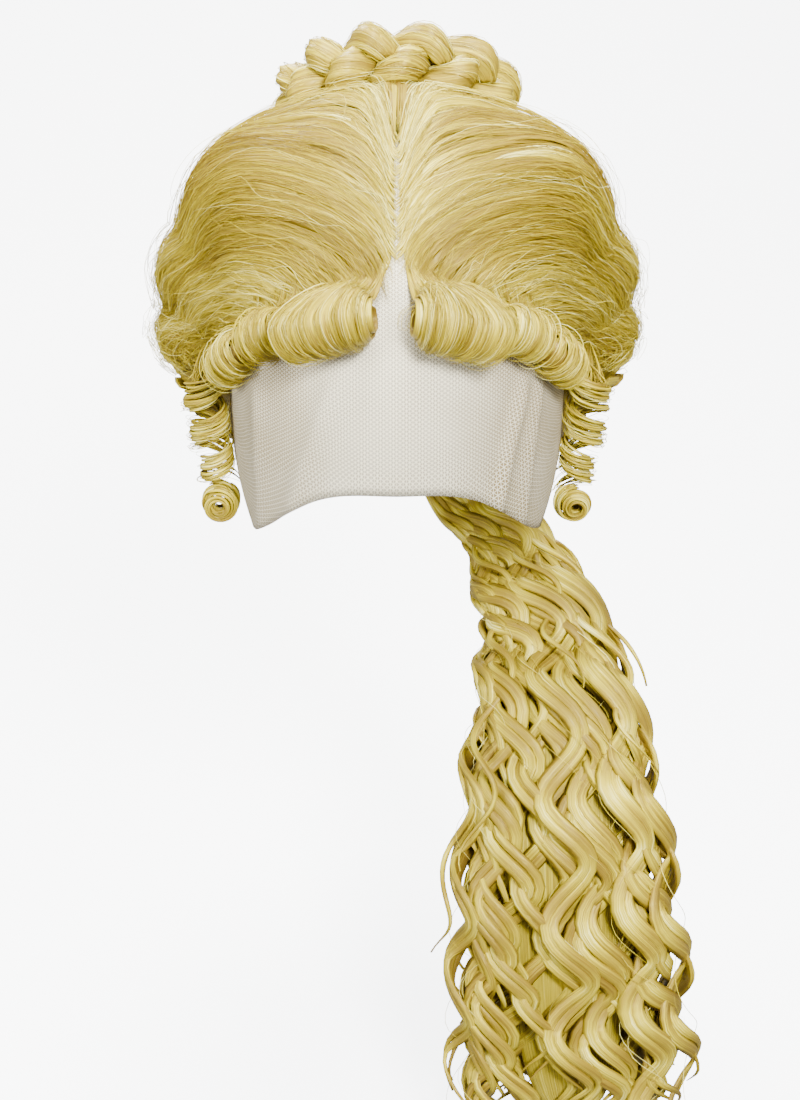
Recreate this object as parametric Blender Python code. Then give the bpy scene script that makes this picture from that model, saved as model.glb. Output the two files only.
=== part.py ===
"""Braided lace front wig with a parted, swept front, a braided bun and a long curly ponytail.

Metres, +Z up. The wearer faces -Y and the wearer's left is +X. The origin is the inside of the
cap at the crown, where the head carries the wig.

Every layer over the head is worked out in two angles about the line through both ears:
  turn   0 looks forward, 90 up, 180 back and more than 180 towards the nape
  side   0 is the middle of the head and 90 the wearer's left ear, -90 the right one
"""

import math
from collections import namedtuple

import bmesh
import bpy
import numpy as np

# Head that the cap fits
HEAD_HALF_WIDTH = 0.0765
HEAD_HALF_DEPTH = 0.0965
HEAD_RISE = 0.1165  # ear line up to the crown
HEAD_DROP = 0.165  # ear line down to where the head form would close

# Cloth layers and the clearance between neighbours
CAP_WALL = 0.0015
LACE_WALL = 0.0010
GAP = 0.0004
SEAM_GAP = 0.0007

# Edges of the layers, in degrees
HAIRLINE_TURN = 41.0
LACE_SEAM_TURN = 58.0
PART_END_TURN = 95.0
BACK_SEAM_TURN = 150.0
NAPE_TURN = 214.0
EAR_SIDE = 86.0
LACE_SIDE = 80.0
PART_LACE_SIDE = 8.0
LACE_CENTRE_TURN = -3.6
LACE_TAB_TURN = -38.0
LACE_TAB_SIDE = 58.0

# Outer form of the dressed hair
PART_HALF_WIDTH = 0.0026
HAIR_HALF_WIDTH = 0.1095
HAIR_HALF_DEPTH = 0.1170
HAIR_RISE = 0.1290
HAIR_DROP = 0.1700
HAIR_SQUARENESS = 2.8  # 2 is a round form from the front, more fills its upper corners
HAIR_SET_BACK = 0.0050  # the hair's centre lies behind the head's
HAIRLINE_DEPTH = 0.0040  # thickness of the hair at its front and lower edges
PART_DEPTH = 0.0050  # thickness of the hair beside the parting
HAIRLINE_RAMP = 34.0  # degrees over which the front swells to its full form at the parting
TEMPLE_RAMP = 70.0  # the same beside the ears
PART_RAMP = 17.0
EAR_TUCK_SIDE = 77.0
NAPE_RAMP = 44.0
NAPE_HALF_DEPTH = 0.016  # thickness that the hair keeps above the nape

Puff = namedtuple("Puff", "low_side high_side height")
PUFFS = (
    Puff(low_side=22.0, high_side=58.0, height=0.0060),
    Puff(low_side=58.0, high_side=74.0, height=0.0060),
    Puff(low_side=74.0, high_side=86.0, height=0.0050),
)
PUFF_START_TURN = 46.0
PUFF_FULL_TURN = 92.0

# Braided bun: a closed three-strand braid round a low knot, pinned on the back of the crown
BUN_TILT = 45.0  # the bun's axis leans back by this much
BUN_FORWARD = 0.0310  # along the tilted seat, from the foot of the ear line's normal to the axis
BUN_SEAT = 0.1130  # ear line to the flat seat under the bun, along the bun's axis
BRAID_RADIUS = 0.0450
BRAID_CYCLES = 4
BRAID_SWAY = 0.0088  # how far a strand's middle swings along the bun's axis
BRAID_WEAVE = 0.0066  # how far it swings towards and away from the axis
STRAND_HALF_WIDTH = 0.0090  # where no other strand presses on it
STRAND_HALF_DEPTH = 0.0086
STRAND_CLEARANCE = 0.0004
STRAND_STEPS = 16  # rings to a cycle
STRAND_SIDES = 8
BUN_SHOULDER = 0.030  # width of the slope from the seat down to the swept hair
KNOT_HEIGHT = 0.024

# Rolled curls along the hairline
CURL_WALL = 0.0030
CURL_PITCH = 0.0042
CURL_START = -90.0
CURL_SWEEP = 420.0
CURL_STEPS = 15

Curl = namedtuple("Curl", "name side_from side_to radius_from radius_to below lean")
CURLS = (
    Curl("curl_brow_left", 5.0, 27.0, 0.0155, 0.0170, 0.85, 0.0),
    Curl("curl_brow_right", -6.5, -30.0, 0.0145, 0.0165, 0.85, 0.0),
    Curl("curl_temple_left", 31.0, 44.0, 0.0120, 0.0115, 0.9, 0.0),
    Curl("curl_temple_right", -33.5, -46.0, 0.0120, 0.0110, 0.9, 0.0),
    Curl("curl_side_left", 48.0, 63.0, 0.0120, 0.0105, 0.9, 2.0),
    Curl("curl_side_right", -50.0, -67.0, 0.0110, 0.0095, 0.9, 2.0),
)

# Ringlets in front of the ears
RINGLET_COIL_RADIUS = 0.0080
RINGLET_BAND_WIDTH = 0.0094
RINGLET_BAND_DEPTH = 0.0036
RINGLET_TURNS = 4.25
RINGLET_LENGTH = 0.062
RINGLET_SIDE = 75.5
RINGLET_TURN = 22.0
RINGLET_STAND_OFF = 0.0040
RINGLET_DRAW_IN = 0.0070  # how far the lower end hangs in towards the jaw

# Ponytail
PONYTAIL_LENGTH = 0.355  # drop from the nape to the tips
PONYTAIL_HALF_WIDTH = 0.0580
PONYTAIL_HALF_DEPTH = 0.0200
PONYTAIL_ROOT_TURN = 203.0
PONYTAIL_ROOT_SIDE = 15.0
PONYTAIL_STEPS = 36
ROOT_CLEARANCE = 0.0009
LOCK_COUNT = 12
LOCK_POINTS = 4  # grid lines to a lock
LOCK_WAVE = 0.050
LOCK_SWAY = 0.30  # how far a lock's edge swings to the side, as a share of its width
LOCK_HEIGHT = 0.0068
LOCK_NOTCH = 0.06
LOCK_RAGGED = 0.07
LOCK_TAPER = 0.30

Section = namedtuple("Section", "across forward drop width depth")
PONYTAIL_SECTIONS = (
    Section(across=0.00, forward=0.00, drop=0.000, width=0.40, depth=0.26),
    Section(across=0.01, forward=0.00, drop=0.045, width=0.36, depth=0.29),
    Section(across=0.08, forward=0.03, drop=0.088, width=0.33, depth=0.36),
    Section(across=0.24, forward=0.17, drop=0.126, width=0.32, depth=0.50),
    Section(across=0.43, forward=0.44, drop=0.166, width=0.36, depth=0.72),
    Section(across=0.62, forward=0.90, drop=0.235, width=0.52, depth=0.92),
    Section(across=0.68, forward=1.42, drop=0.330, width=0.72, depth=1.00),
    Section(across=0.72, forward=1.78, drop=0.480, width=0.86, depth=1.00),
    Section(across=0.76, forward=1.94, drop=0.650, width=0.96, depth=1.00),
    Section(across=0.80, forward=2.03, drop=0.820, width=1.00, depth=0.95),
    Section(across=0.83, forward=2.07, drop=0.955, width=0.80, depth=0.60),
)

# Grid lines shared by all layers, so that their facets lie parallel
TURN_LINES = (
    HAIRLINE_TURN, 48.0, LACE_SEAM_TURN, 69.0, 82.0, PART_END_TURN,
    108.0, 122.0, 136.0, BACK_SEAM_TURN, 166.0, 182.0, 198.0, NAPE_TURN,
)
SIDE_LINES = (PART_LACE_SIDE, 20.0, 32.0, 45.0, LACE_TAB_SIDE, 66.0, 74.0, LACE_SIDE, EAR_SIDE)
LACE_ROWS = 4


def clear_scene():
    for obj in list(bpy.data.objects):
        bpy.data.objects.remove(obj, do_unlink=True)


def make_material(name, color, roughness, alpha=1.0):
    material = bpy.data.materials.new(name)
    material.use_nodes = True
    shader = material.node_tree.nodes["Principled BSDF"]
    shader.inputs["Base Color"].default_value = (*color, 1.0)
    shader.inputs["Roughness"].default_value = roughness
    shader.inputs["Metallic"].default_value = 0.0
    shader.inputs["Alpha"].default_value = alpha
    return material


def unit(vectors):
    return vectors / np.linalg.norm(vectors, axis=-1, keepdims=True)


def smooth_step(share):
    share = np.clip(share, 0.0, 1.0)
    return share * share * (3.0 - 2.0 * share)


def ear_centred(turn, side, half_width, half_depth, rise, drop, set_back=0.0):
    """Point and outward normal of an egg form centred on the ear line, for angles in degrees."""
    turn, side = np.broadcast_arrays(np.radians(turn), np.radians(side))
    ring = np.cos(side)
    height = np.where(np.sin(turn) < 0.0, drop, rise)
    x = half_width * np.sin(side)
    y = -half_depth * ring * np.cos(turn)
    z = height * ring * np.sin(turn)
    normal = unit(np.stack([x / half_width**2, y / half_depth**2, z / height**2], -1))
    return np.stack([x, y + set_back, z - HEAD_RISE], -1), normal


def head(turn, side, offset=0.0):
    """Point at that distance outside the head, and the head's outward normal there."""
    point, normal = ear_centred(turn, side, HEAD_HALF_WIDTH, HEAD_HALF_DEPTH, HEAD_RISE, HEAD_DROP)
    return point + normal * offset, normal


LACE_INNER = CAP_WALL + GAP
LACE_OUTER = LACE_INNER + LACE_WALL
HAIR_INNER = LACE_OUTER + GAP
BACK_INNER = CAP_WALL + GAP
PART_SIDE = math.degrees(math.asin(PART_HALF_WIDTH / HEAD_HALF_WIDTH))
SIDES = np.array((PART_SIDE, *SIDE_LINES))
BOTH_SIDES = np.concatenate([-SIDES[::-1], SIDES])
TURNS = np.array(TURN_LINES)

BUN_AXIS = np.array([0.0, math.sin(math.radians(BUN_TILT)), math.cos(math.radians(BUN_TILT))])
BUN_FRONT = np.array([0.0, -math.cos(math.radians(BUN_TILT)), math.sin(math.radians(BUN_TILT))])
EAR_LINE = np.array([0.0, 0.0, -HEAD_RISE])
BRAID_HALF_HEIGHT = BRAID_SWAY + STRAND_HALF_WIDTH * math.cos(math.pi / STRAND_SIDES)
BRAID_HALF_DEPTH = BRAID_WEAVE + STRAND_HALF_DEPTH
SEAT_CENTRE = EAR_LINE + BUN_FRONT * BUN_FORWARD + BUN_AXIS * BUN_SEAT
BRAID_CENTRE = SEAT_CENTRE + BUN_AXIS * (BRAID_HALF_HEIGHT + GAP)


def puff_height(turn, side):
    """Height of the rolled waves that run back over the sides, notched where two of them meet."""
    height = np.zeros(np.broadcast(turn, side).shape)
    for puff in PUFFS:
        share = (np.abs(side) - puff.low_side) / (puff.high_side - puff.low_side)
        inside = (share > 0.0) & (share < 1.0)
        height += np.where(inside, puff.height * np.sin(np.pi * np.clip(share, 0.0, 1.0)), 0.0)
    return height * smooth_step((turn - PUFF_START_TURN) / (PUFF_FULL_TURN - PUFF_START_TURN))


def bun_seat(points):
    """The hair is pressed to a flat seat under the bun and slopes from it into the swept hair."""
    from_axis = points - SEAT_CENTRE
    height = from_axis @ BUN_AXIS
    radial = np.linalg.norm(from_axis - height[..., None] * BUN_AXIS, axis=-1)
    pressed_radius = BRAID_RADIUS + BRAID_HALF_DEPTH + BUN_SHOULDER * 0.25
    flat_radius = np.where(height > 0.0, pressed_radius, BRAID_RADIUS + BRAID_HALF_DEPTH * 0.4)
    weight = 1.0 - smooth_step((radial - flat_radius) / BUN_SHOULDER)
    return points - (height * weight)[..., None] * BUN_AXIS


def hair_outer(turn, side, inner=HAIR_INNER):
    """Outer face of the dressed hair: thin at its edges and the parting, full and puffed between."""
    full, _ = ear_centred(
        turn, side, HAIR_HALF_WIDTH, HAIR_HALF_DEPTH, HAIR_RISE, HAIR_DROP, HAIR_SET_BACK
    )
    across, around = np.abs(np.sin(np.radians(side))), np.cos(np.radians(side))
    square = (across**HAIR_SQUARENESS + around**HAIR_SQUARENESS) ** (-1.0 / HAIR_SQUARENESS)
    full = EAR_LINE + (full - EAR_LINE) * np.broadcast_to(square, full.shape[:-1])[..., None]
    edge, normal = head(turn, side, inner + HAIRLINE_DEPTH)
    nape, _ = head(turn, side, inner + NAPE_HALF_DEPTH)
    ramp = HAIRLINE_RAMP + (TEMPLE_RAMP - HAIRLINE_RAMP) * np.sin(np.radians(side)) ** 2
    front = smooth_step((turn - HAIRLINE_TURN) / ramp)
    tuck = np.clip((np.abs(side) - EAR_TUCK_SIDE) / (EAR_SIDE - EAR_TUCK_SIDE), 0.0, 1.0)
    ear = np.sqrt(1.0 - 0.62 * tuck**2)
    parted = smooth_step((np.abs(side) - PART_SIDE) / PART_RAMP)
    parting = 1.0 - (1.0 - parted) * (1.0 - PART_DEPTH / (HAIR_RISE - HEAD_RISE))
    behind = smooth_step((turn - PART_END_TURN) / (BACK_SEAM_TURN - PART_END_TURN))
    parting = parting + (1.0 - parting) * behind
    to_nape = smooth_step((turn - (NAPE_TURN - NAPE_RAMP)) / NAPE_RAMP)[..., None]
    full = full * (1.0 - to_nape) + nape * to_nape
    weight = (front * ear * parting)[..., None]
    dressed = edge + (full - edge) * weight + normal * (puff_height(turn, side) * ear)[..., None]
    return bun_seat(dressed)


def link(name, mesh, material):
    mesh.materials.append(material)
    obj = bpy.data.objects.new(name, mesh)
    bpy.context.scene.collection.objects.link(obj)
    return obj


def mesh_of(name, points, faces):
    """A mesh with its normals turned outwards."""
    mesh = bpy.data.meshes.new(name)
    mesh.from_pydata(np.asarray(points).reshape(-1, 3).tolist(), [], faces)
    work = bmesh.new()
    work.from_mesh(mesh)
    bmesh.ops.recalc_face_normals(work, faces=work.faces)
    work.to_mesh(mesh)
    work.free()
    mesh.update()
    return mesh


def shell(name, outer, inner, material, cells=None):
    """A closed wall between two grids of points. cells marks the grid cells that are covered."""
    rows, columns = outer.shape[:2]
    cells = np.ones((rows - 1, columns - 1), bool) if cells is None else cells
    index = np.arange(rows * columns).reshape(rows, columns)
    below = rows * columns
    faces, rim = [], {}
    for row, column in zip(*np.nonzero(cells)):
        corners = (
            index[row, column], index[row, column + 1], index[row + 1, column + 1], index[row + 1, column]
        )
        for triangle in ((0, 1, 2), (0, 2, 3)):
            a, b, c = (int(corners[k]) for k in triangle)
            faces += [(a, b, c), (c + below, b + below, a + below)]
        for a, b in zip(corners, corners[1:] + corners[:1]):
            edge = (int(a), int(b))
            if edge[::-1] in rim:
                del rim[edge[::-1]]
            else:
                rim[edge] = True
    points = np.concatenate([outer.reshape(-1, 3), inner.reshape(-1, 3)])
    for a, b in rim:
        if np.linalg.norm(points[b] - points[a + below]) < np.linalg.norm(points[a] - points[b + below]):
            faces += [(b, a, a + below), (b, a + below, b + below)]
        else:
            faces += [(b, a, b + below), (a, a + below, b + below)]
    used = sorted({corner for face in faces for corner in face})
    renumbered = {old: new for new, old in enumerate(used)}
    faces = [tuple(renumbered[corner] for corner in face) for face in faces]
    return link(name, mesh_of(name, points[used], faces), material)


def loop(name, rings, material, closed=True):
    """A body swept through rings of points, either a closed loop or with a flat face at each end."""
    count, sides = rings.shape[:2]
    faces = []
    for ring in range(count if closed else count - 1):
        here, there = ring * sides, ((ring + 1) % count) * sides
        for side in range(sides):
            after = (side + 1) % sides
            faces += [
                (here + side, here + after, there + after),
                (here + side, there + after, there + side),
            ]
    if not closed:
        faces += [tuple(range(sides))[::-1], tuple((count - 1) * sides + k for k in range(sides))]
    return link(name, mesh_of(name, rings, faces), material)


def tube(name, centres, across, beside, material, sides=6):
    """A swept tube. across and beside are the two half axes of its section at each centre."""
    angles = np.arange(sides) * 2.0 * math.pi / sides
    rings = (
        centres[:, None]
        + across[:, None] * np.cos(angles)[None, :, None]
        + beside[:, None] * np.sin(angles)[None, :, None]
    )
    return loop(name, rings, material, closed=False)


def resample(values, steps):
    """Smooth Catmull-Rom samples through the rows of a table."""
    values = np.asarray(values, float)
    padded = np.concatenate([2 * values[:1] - values[1:2], values, 2 * values[-1:] - values[-2:-1]])
    at = np.linspace(0.0, len(values) - 1.0, steps)
    start = np.minimum(at.astype(int), len(values) - 2)
    t = (at - start)[:, None]
    p0, p1, p2, p3 = (padded[start + k] for k in range(4))
    return 0.5 * (
        2 * p1 + (p2 - p0) * t + (2 * p0 - 5 * p1 + 4 * p2 - p3) * t**2 + (3 * p1 - p0 - 3 * p2 + p3) * t**3
    )


def frames_along(centres, reference):
    """Two unit directions square to a path: one as near to reference as it can be, one beside it."""
    along = unit(np.gradient(centres, axis=0))
    first = unit(reference - along * np.sum(reference * along, -1, keepdims=True))
    return first, np.cross(along, first)


def make_cap(material):
    """Stitched cap from hairline to nape, open underneath."""
    turn, side = np.meshgrid(TURNS, BOTH_SIDES, indexing="ij")
    return shell("cap", head(turn, side, CAP_WALL)[0], head(turn, side)[0], material)


def lace_bottom(side):
    """Turn angle of the lace's lower edge: high over the brow, low at the tab before each ear."""
    share = np.minimum(np.abs(side) / LACE_TAB_SIDE, 1.0)
    return LACE_CENTRE_TURN + (LACE_TAB_TURN - LACE_CENTRE_TURN) * share**3


def make_lace_front(material):
    """Lace over the brow and temples, with a narrow strip of it that runs back under the parting."""
    side_lines = BOTH_SIDES[np.abs(BOTH_SIDES) <= LACE_SIDE]
    turn_lines = TURNS[TURNS <= PART_END_TURN]
    upper = np.repeat(turn_lines[:, None], len(side_lines), 1)
    share = np.linspace(0.0, 1.0, LACE_ROWS, endpoint=False)[:, None]
    lower = lace_bottom(side_lines)[None] * (1.0 - share) + HAIRLINE_TURN * share
    turn = np.concatenate([lower, upper])
    side = np.repeat(side_lines[None], len(turn), 0)
    middle = np.abs(side[:-1, 1:] + side[:-1, :-1]) / 2.0 < PART_LACE_SIDE
    cells = (turn[:-1, 1:] < LACE_SEAM_TURN) | middle
    return shell(
        "lace_front", head(turn, side, LACE_OUTER)[0], head(turn, side, LACE_INNER)[0], material, cells
    )


def make_swept_side(name, sign, material):
    """Hair combed back from the parting over one side of the head."""
    turns = TURNS[TURNS <= BACK_SEAM_TURN]
    turn, side = np.meshgrid(turns, sign * SIDES, indexing="ij")
    return shell(name, hair_outer(turn, side), head(turn, side, HAIR_INNER)[0], material)


def make_back_hair(material):
    """Hair over the back of the head, from the crown to the nape."""
    turn, side = np.meshgrid(TURNS[TURNS >= BACK_SEAM_TURN], BOTH_SIDES, indexing="ij")
    turn[0] += np.degrees(SEAM_GAP / (HEAD_HALF_DEPTH * np.cos(np.radians(side[0]))))
    outer = hair_outer(turn, side, BACK_INNER)
    return shell("back_hair", outer, head(turn, side, BACK_INNER)[0], material)


def braid_middles(around, shift):
    """Middles of the three strands, as distances out from the braid's circle and along its axis."""
    phase = BRAID_CYCLES * (around + shift) + np.arange(3)[:, None] * 2.0 * math.pi / 3.0
    return np.stack([BRAID_WEAVE * np.sin(2.0 * phase), BRAID_SWAY * np.sin(phase)], -1)


def make_braid(material):
    """Three strands that weave round the bun, each pressed flat where it meets another."""
    steps = STRAND_STEPS * BRAID_CYCLES
    around = np.arange(steps) * 2.0 * math.pi / steps
    right = np.array([1.0, 0.0, 0.0])
    outward = np.cos(around)[:, None] * right + np.sin(around)[:, None] * BUN_FRONT
    middle, earlier, later = (braid_middles(around, shift * math.pi / steps) for shift in (0, -1, 1))
    angle = (np.arange(STRAND_SIDES) + 0.5) * 2.0 * math.pi / STRAND_SIDES
    ray = np.stack([np.cos(angle), np.sin(angle)], -1)
    free = 1.0 / np.hypot(ray[:, 0] / STRAND_HALF_DEPTH, ray[:, 1] / STRAND_HALF_WIDTH)
    for strand in range(3):
        reach = np.repeat(free[None], steps, 0)
        for at in (middle, earlier, later):
            for other in (at[(strand + 1) % 3], at[(strand + 2) % 3]):
                towards = unit(other - at[strand])
                to_plane = np.sum(((other + at[strand]) / 2.0 - middle[strand]) * towards, -1)
                facing = towards @ ray.T
                room = (to_plane - STRAND_CLEARANCE / 2.0)[:, None] / np.maximum(facing, 1e-6)
                reach = np.where(facing > 1e-6, np.minimum(reach, room), reach)
        section = middle[strand][:, None] + ray[None] * reach[..., None]
        rings = (
            BRAID_CENTRE
            + outward[:, None] * (BRAID_RADIUS + section[..., :1])
            + BUN_AXIS * section[..., 1:]
        )
        loop(f"braid_strand_{strand + 1}", rings, material)


def make_bun_knot(material):
    """Low wound knot that fills the middle of the braid."""
    radius = BRAID_RADIUS - BRAID_HALF_DEPTH - GAP
    profile = [(radius * math.cos(a), KNOT_HEIGHT * math.sin(a)) for a in np.radians([0, 22, 45, 68])]
    work = bmesh.new()
    sides = 20
    foot = SEAT_CENTRE + BUN_AXIS * GAP
    right = np.array([1.0, 0.0, 0.0])
    rings = []
    for reach, height in [(radius * 0.93, 0.0), *profile]:
        lift = height + (GAP * 3.0 if reach == radius else 0.0)
        ring = []
        for k in range(sides):
            angle = 2.0 * math.pi * k / sides
            out = right * math.cos(angle) + BUN_FRONT * math.sin(angle)
            ring.append(work.verts.new(foot + out * reach + BUN_AXIS * lift))
        rings.append(ring)
    top = work.verts.new(foot + BUN_AXIS * KNOT_HEIGHT)
    for low, high in zip(rings, rings[1:]):
        for k in range(sides):
            work.faces.new((low[k], low[(k + 1) % sides], high[(k + 1) % sides], high[k]))
    for k in range(sides):
        work.faces.new((rings[-1][k], rings[-1][(k + 1) % sides], top))
    work.faces.new(rings[0][::-1])
    bmesh.ops.recalc_face_normals(work, faces=work.faces)
    mesh = bpy.data.meshes.new("bun_knot")
    work.to_mesh(mesh)
    work.free()
    return link("bun_knot", mesh, material)


def make_curl(curl, material):
    """A rolled curl on the hairline: a wall wound into a scroll whose axis follows the brow."""
    stations = 4
    share = np.linspace(0.0, 1.0, stations)
    side = curl.side_from + (curl.side_to - curl.side_from) * share
    radius = curl.radius_from + (curl.radius_to - curl.radius_from) * share
    root, _ = head(HAIRLINE_TURN, side)
    reach = np.linalg.norm(root[:, 1:] - EAR_LINE[1:], axis=1)
    below = np.degrees((radius * curl.below + 2.0 * GAP) / reach) + curl.lean * share
    foot, normal = head(HAIRLINE_TURN - below, side, LACE_OUTER + GAP)
    axis = unit(np.gradient(foot, axis=0))
    normal = unit(normal - axis * np.sum(normal * axis, -1, keepdims=True))
    down = np.cross(axis, normal) * math.copysign(1.0, curl.side_to - curl.side_from)
    down = down * np.where(down[:, 2:] > 0.0, -1.0, 1.0)
    wound_at_foot = CURL_PITCH * (180.0 - CURL_START) / 360.0
    centre = foot + normal * (radius - wound_at_foot)[:, None]
    sweep = np.radians(CURL_START + np.linspace(0.0, CURL_SWEEP, CURL_STEPS))
    wound = CURL_PITCH * np.linspace(0.0, CURL_SWEEP / 360.0, CURL_STEPS)
    spoke = normal[:, None] * np.cos(sweep)[None, :, None] + down[:, None] * np.sin(sweep)[None, :, None]
    outer_radius = (radius[:, None] - wound[None])[..., None]
    outer = centre[:, None] + spoke * outer_radius
    inner = centre[:, None] + spoke * (outer_radius - CURL_WALL)
    return shell(curl.name, outer, inner, material)


def make_ringlet(name, sign, material):
    """A flat lock wound into a hanging coil before the ear."""
    steps = int(RINGLET_TURNS * 8) + 1
    share = np.linspace(0.0, 1.0, steps)
    top, normal = head(RINGLET_TURN, sign * RINGLET_SIDE, LACE_OUTER)
    half_band = RINGLET_BAND_DEPTH / 2.0
    out = np.array([sign, 0.0, 0.0])
    forward = np.array([0.0, -1.0, 0.0])
    down = np.array([0.0, 0.0, -1.0])
    coil = RINGLET_COIL_RADIUS * (1.0 - 0.25 * share)
    axis = (
        top
        + out * (RINGLET_COIL_RADIUS + half_band + RINGLET_STAND_OFF)
        + down * (RINGLET_LENGTH * share)[:, None]
        - out * ((RINGLET_STAND_OFF + RINGLET_DRAW_IN * share) * share)[:, None]
    )
    angle = 2.0 * math.pi * RINGLET_TURNS * share
    spoke = out * np.cos(angle)[:, None] * -1.0 + forward * np.sin(angle)[:, None]
    centres = axis + spoke * coil[:, None]
    band = np.repeat(down[None] * RINGLET_BAND_WIDTH / 2.0, steps, 0)
    narrow = 1.0 - 0.55 * smooth_step((share - 0.75) / 0.25)[:, None]
    return tube(name, centres, band * narrow, spoke * half_band * narrow, material, sides=6)


def ponytail_path(at):
    """Centre and the two half axes of the ponytail at each share of the way down it."""
    root, normal = head(PONYTAIL_ROOT_TURN, PONYTAIL_ROOT_SIDE)
    surface = hair_outer(np.array([PONYTAIL_ROOT_TURN]), np.array([PONYTAIL_ROOT_SIDE]), BACK_INNER)[0]
    start = surface + normal * (PONYTAIL_SECTIONS[0].depth * PONYTAIL_HALF_DEPTH + ROOT_CLEARANCE)
    rows = resample(
        [
            (
                start[0] + section.across * HEAD_HALF_WIDTH,
                start[1] - section.forward * HEAD_HALF_DEPTH,
                start[2] - section.drop * PONYTAIL_LENGTH,
                section.width * PONYTAIL_HALF_WIDTH,
                section.depth * PONYTAIL_HALF_DEPTH,
            )
            for section in PONYTAIL_SECTIONS
        ],
        161,
    )
    fine = np.linspace(0.0, 1.0, len(rows))
    blend = smooth_step(fine * 3.2)[:, None]
    along_head = unit(np.array([normal[1], -normal[0], 0.0]))
    first, second = frames_along(rows[:, :3], along_head * (1.0 - blend) + np.array([1.0, 0.0, 0.0]) * blend)
    travelled = np.concatenate([[0.0], np.cumsum(np.linalg.norm(np.diff(rows[:, :3], axis=0), axis=1))])
    columns = np.concatenate([rows, first, second, travelled[:, None]], 1)
    found = np.stack([np.interp(at, fine, column) for column in columns.T], -1)
    return found[..., :3], found[..., 3:4], found[..., 4:5], found[..., 5:8], found[..., 8:11], found[..., 11]


def even_angles(count):
    """Angles round the ponytail's oval section that lie evenly along its edge."""
    fine = np.linspace(0.0, 2.0 * math.pi, 721)
    edge = np.stack([PONYTAIL_HALF_WIDTH * np.cos(fine), PONYTAIL_HALF_DEPTH * np.sin(fine)], -1)
    length = np.concatenate([[0.0], np.cumsum(np.linalg.norm(np.diff(edge, axis=0), axis=1))])
    return np.interp(np.arange(count) / count * length[-1], length, fine)


def make_ponytail(material):
    """One body whose side is drawn into wavy locks, with a pointed tip to each lock."""
    share = np.linspace(0.0, 1.0, PONYTAIL_STEPS + 1)[:, None]
    column = np.arange(LOCK_COUNT * LOCK_POINTS)
    lock, inside = column // LOCK_POINTS, column % LOCK_POINTS / LOCK_POINTS
    crest = np.sin(math.pi * inside)
    ragged = LOCK_RAGGED * (0.5 + 0.5 * np.sin(2.4 * (lock * (1.0 - inside) + (lock + 1) * inside)))
    at = share * (1.0 - LOCK_NOTCH * (1.0 - crest) - ragged)
    centre, width, depth, first, second, travelled = ponytail_path(at)
    begin = smooth_step(travelled / (1.5 * LOCK_WAVE))
    beat = 2.0 * math.pi * travelled / LOCK_WAVE
    near, far = np.sin(beat + 2.3 * lock), np.sin(beat + 2.3 * ((lock + 1) % LOCK_COUNT))
    sway = LOCK_SWAY / LOCK_COUNT * begin * (near * (1.0 - inside) + far * inside)
    angle = even_angles(LOCK_COUNT * LOCK_POINTS) + 2.0 * math.pi * sway
    lift = LOCK_HEIGHT * crest * (0.35 + 0.65 * begin) * (0.75 + 0.25 * np.cos(beat + 2.3 * lock) * begin)
    tip = 1.0 - LOCK_TAPER * smooth_step((share - 0.86) / 0.14)
    wide, deep = np.cos(angle)[..., None], np.sin(angle)[..., None]
    outward = unit(first * wide * depth + second * deep * width)
    ring = (
        centre
        + (first * width * wide + second * depth * deep) * tip[..., None]
        + outward * (lift * (1.0 - 0.4 * (1.0 - tip)))[..., None]
    )
    rows, columns = ring.shape[:2]
    faces = []
    for row in range(rows - 1):
        for here in range(columns):
            there = (here + 1) % columns
            a, b = row * columns + here, row * columns + there
            faces += [(a, b, b + columns), (a, b + columns, a + columns)]
    root, heart = rows * columns, rows * columns + 1
    last = (rows - 1) * columns
    for here in range(columns):
        there = (here + 1) % columns
        faces += [(root, there, here), (heart, last + here, last + there)]
    ends = ponytail_path(np.array([0.0, 1.0 - LOCK_RAGGED - LOCK_NOTCH * 1.6]))[0]
    points = np.concatenate([ring.reshape(-1, 3), ends])
    return link("ponytail", mesh_of("ponytail", points, faces), material)


def main():
    clear_scene()
    net = make_material("cap_net", (0.62, 0.53, 0.36), 0.85)
    lace = make_material("lace", (0.78, 0.71, 0.55), 0.80)
    hair = make_material("blonde_hair", (0.72, 0.55, 0.20), 0.42)
    make_cap(net)
    make_lace_front(lace)
    make_swept_side("swept_left", 1.0, hair)
    make_swept_side("swept_right", -1.0, hair)
    make_back_hair(hair)
    make_braid(hair)
    make_bun_knot(hair)
    for curl in CURLS:
        make_curl(curl, hair)
    make_ringlet("ringlet_left", 1.0, hair)
    make_ringlet("ringlet_right", -1.0, hair)
    make_ponytail(hair)


main()
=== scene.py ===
# %% [markdown]
# # A braided lace front wig
#
# This script dresses a measured model of a wig in hair, net and lace. The measured model is loaded as a
# fixed frame. It says where every part sits, so each new piece is worked out from the same sizes and lands
# on it without any fitting. Lengths are in metres, angles in degrees.

# %% Load the measured frame
import math

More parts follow.
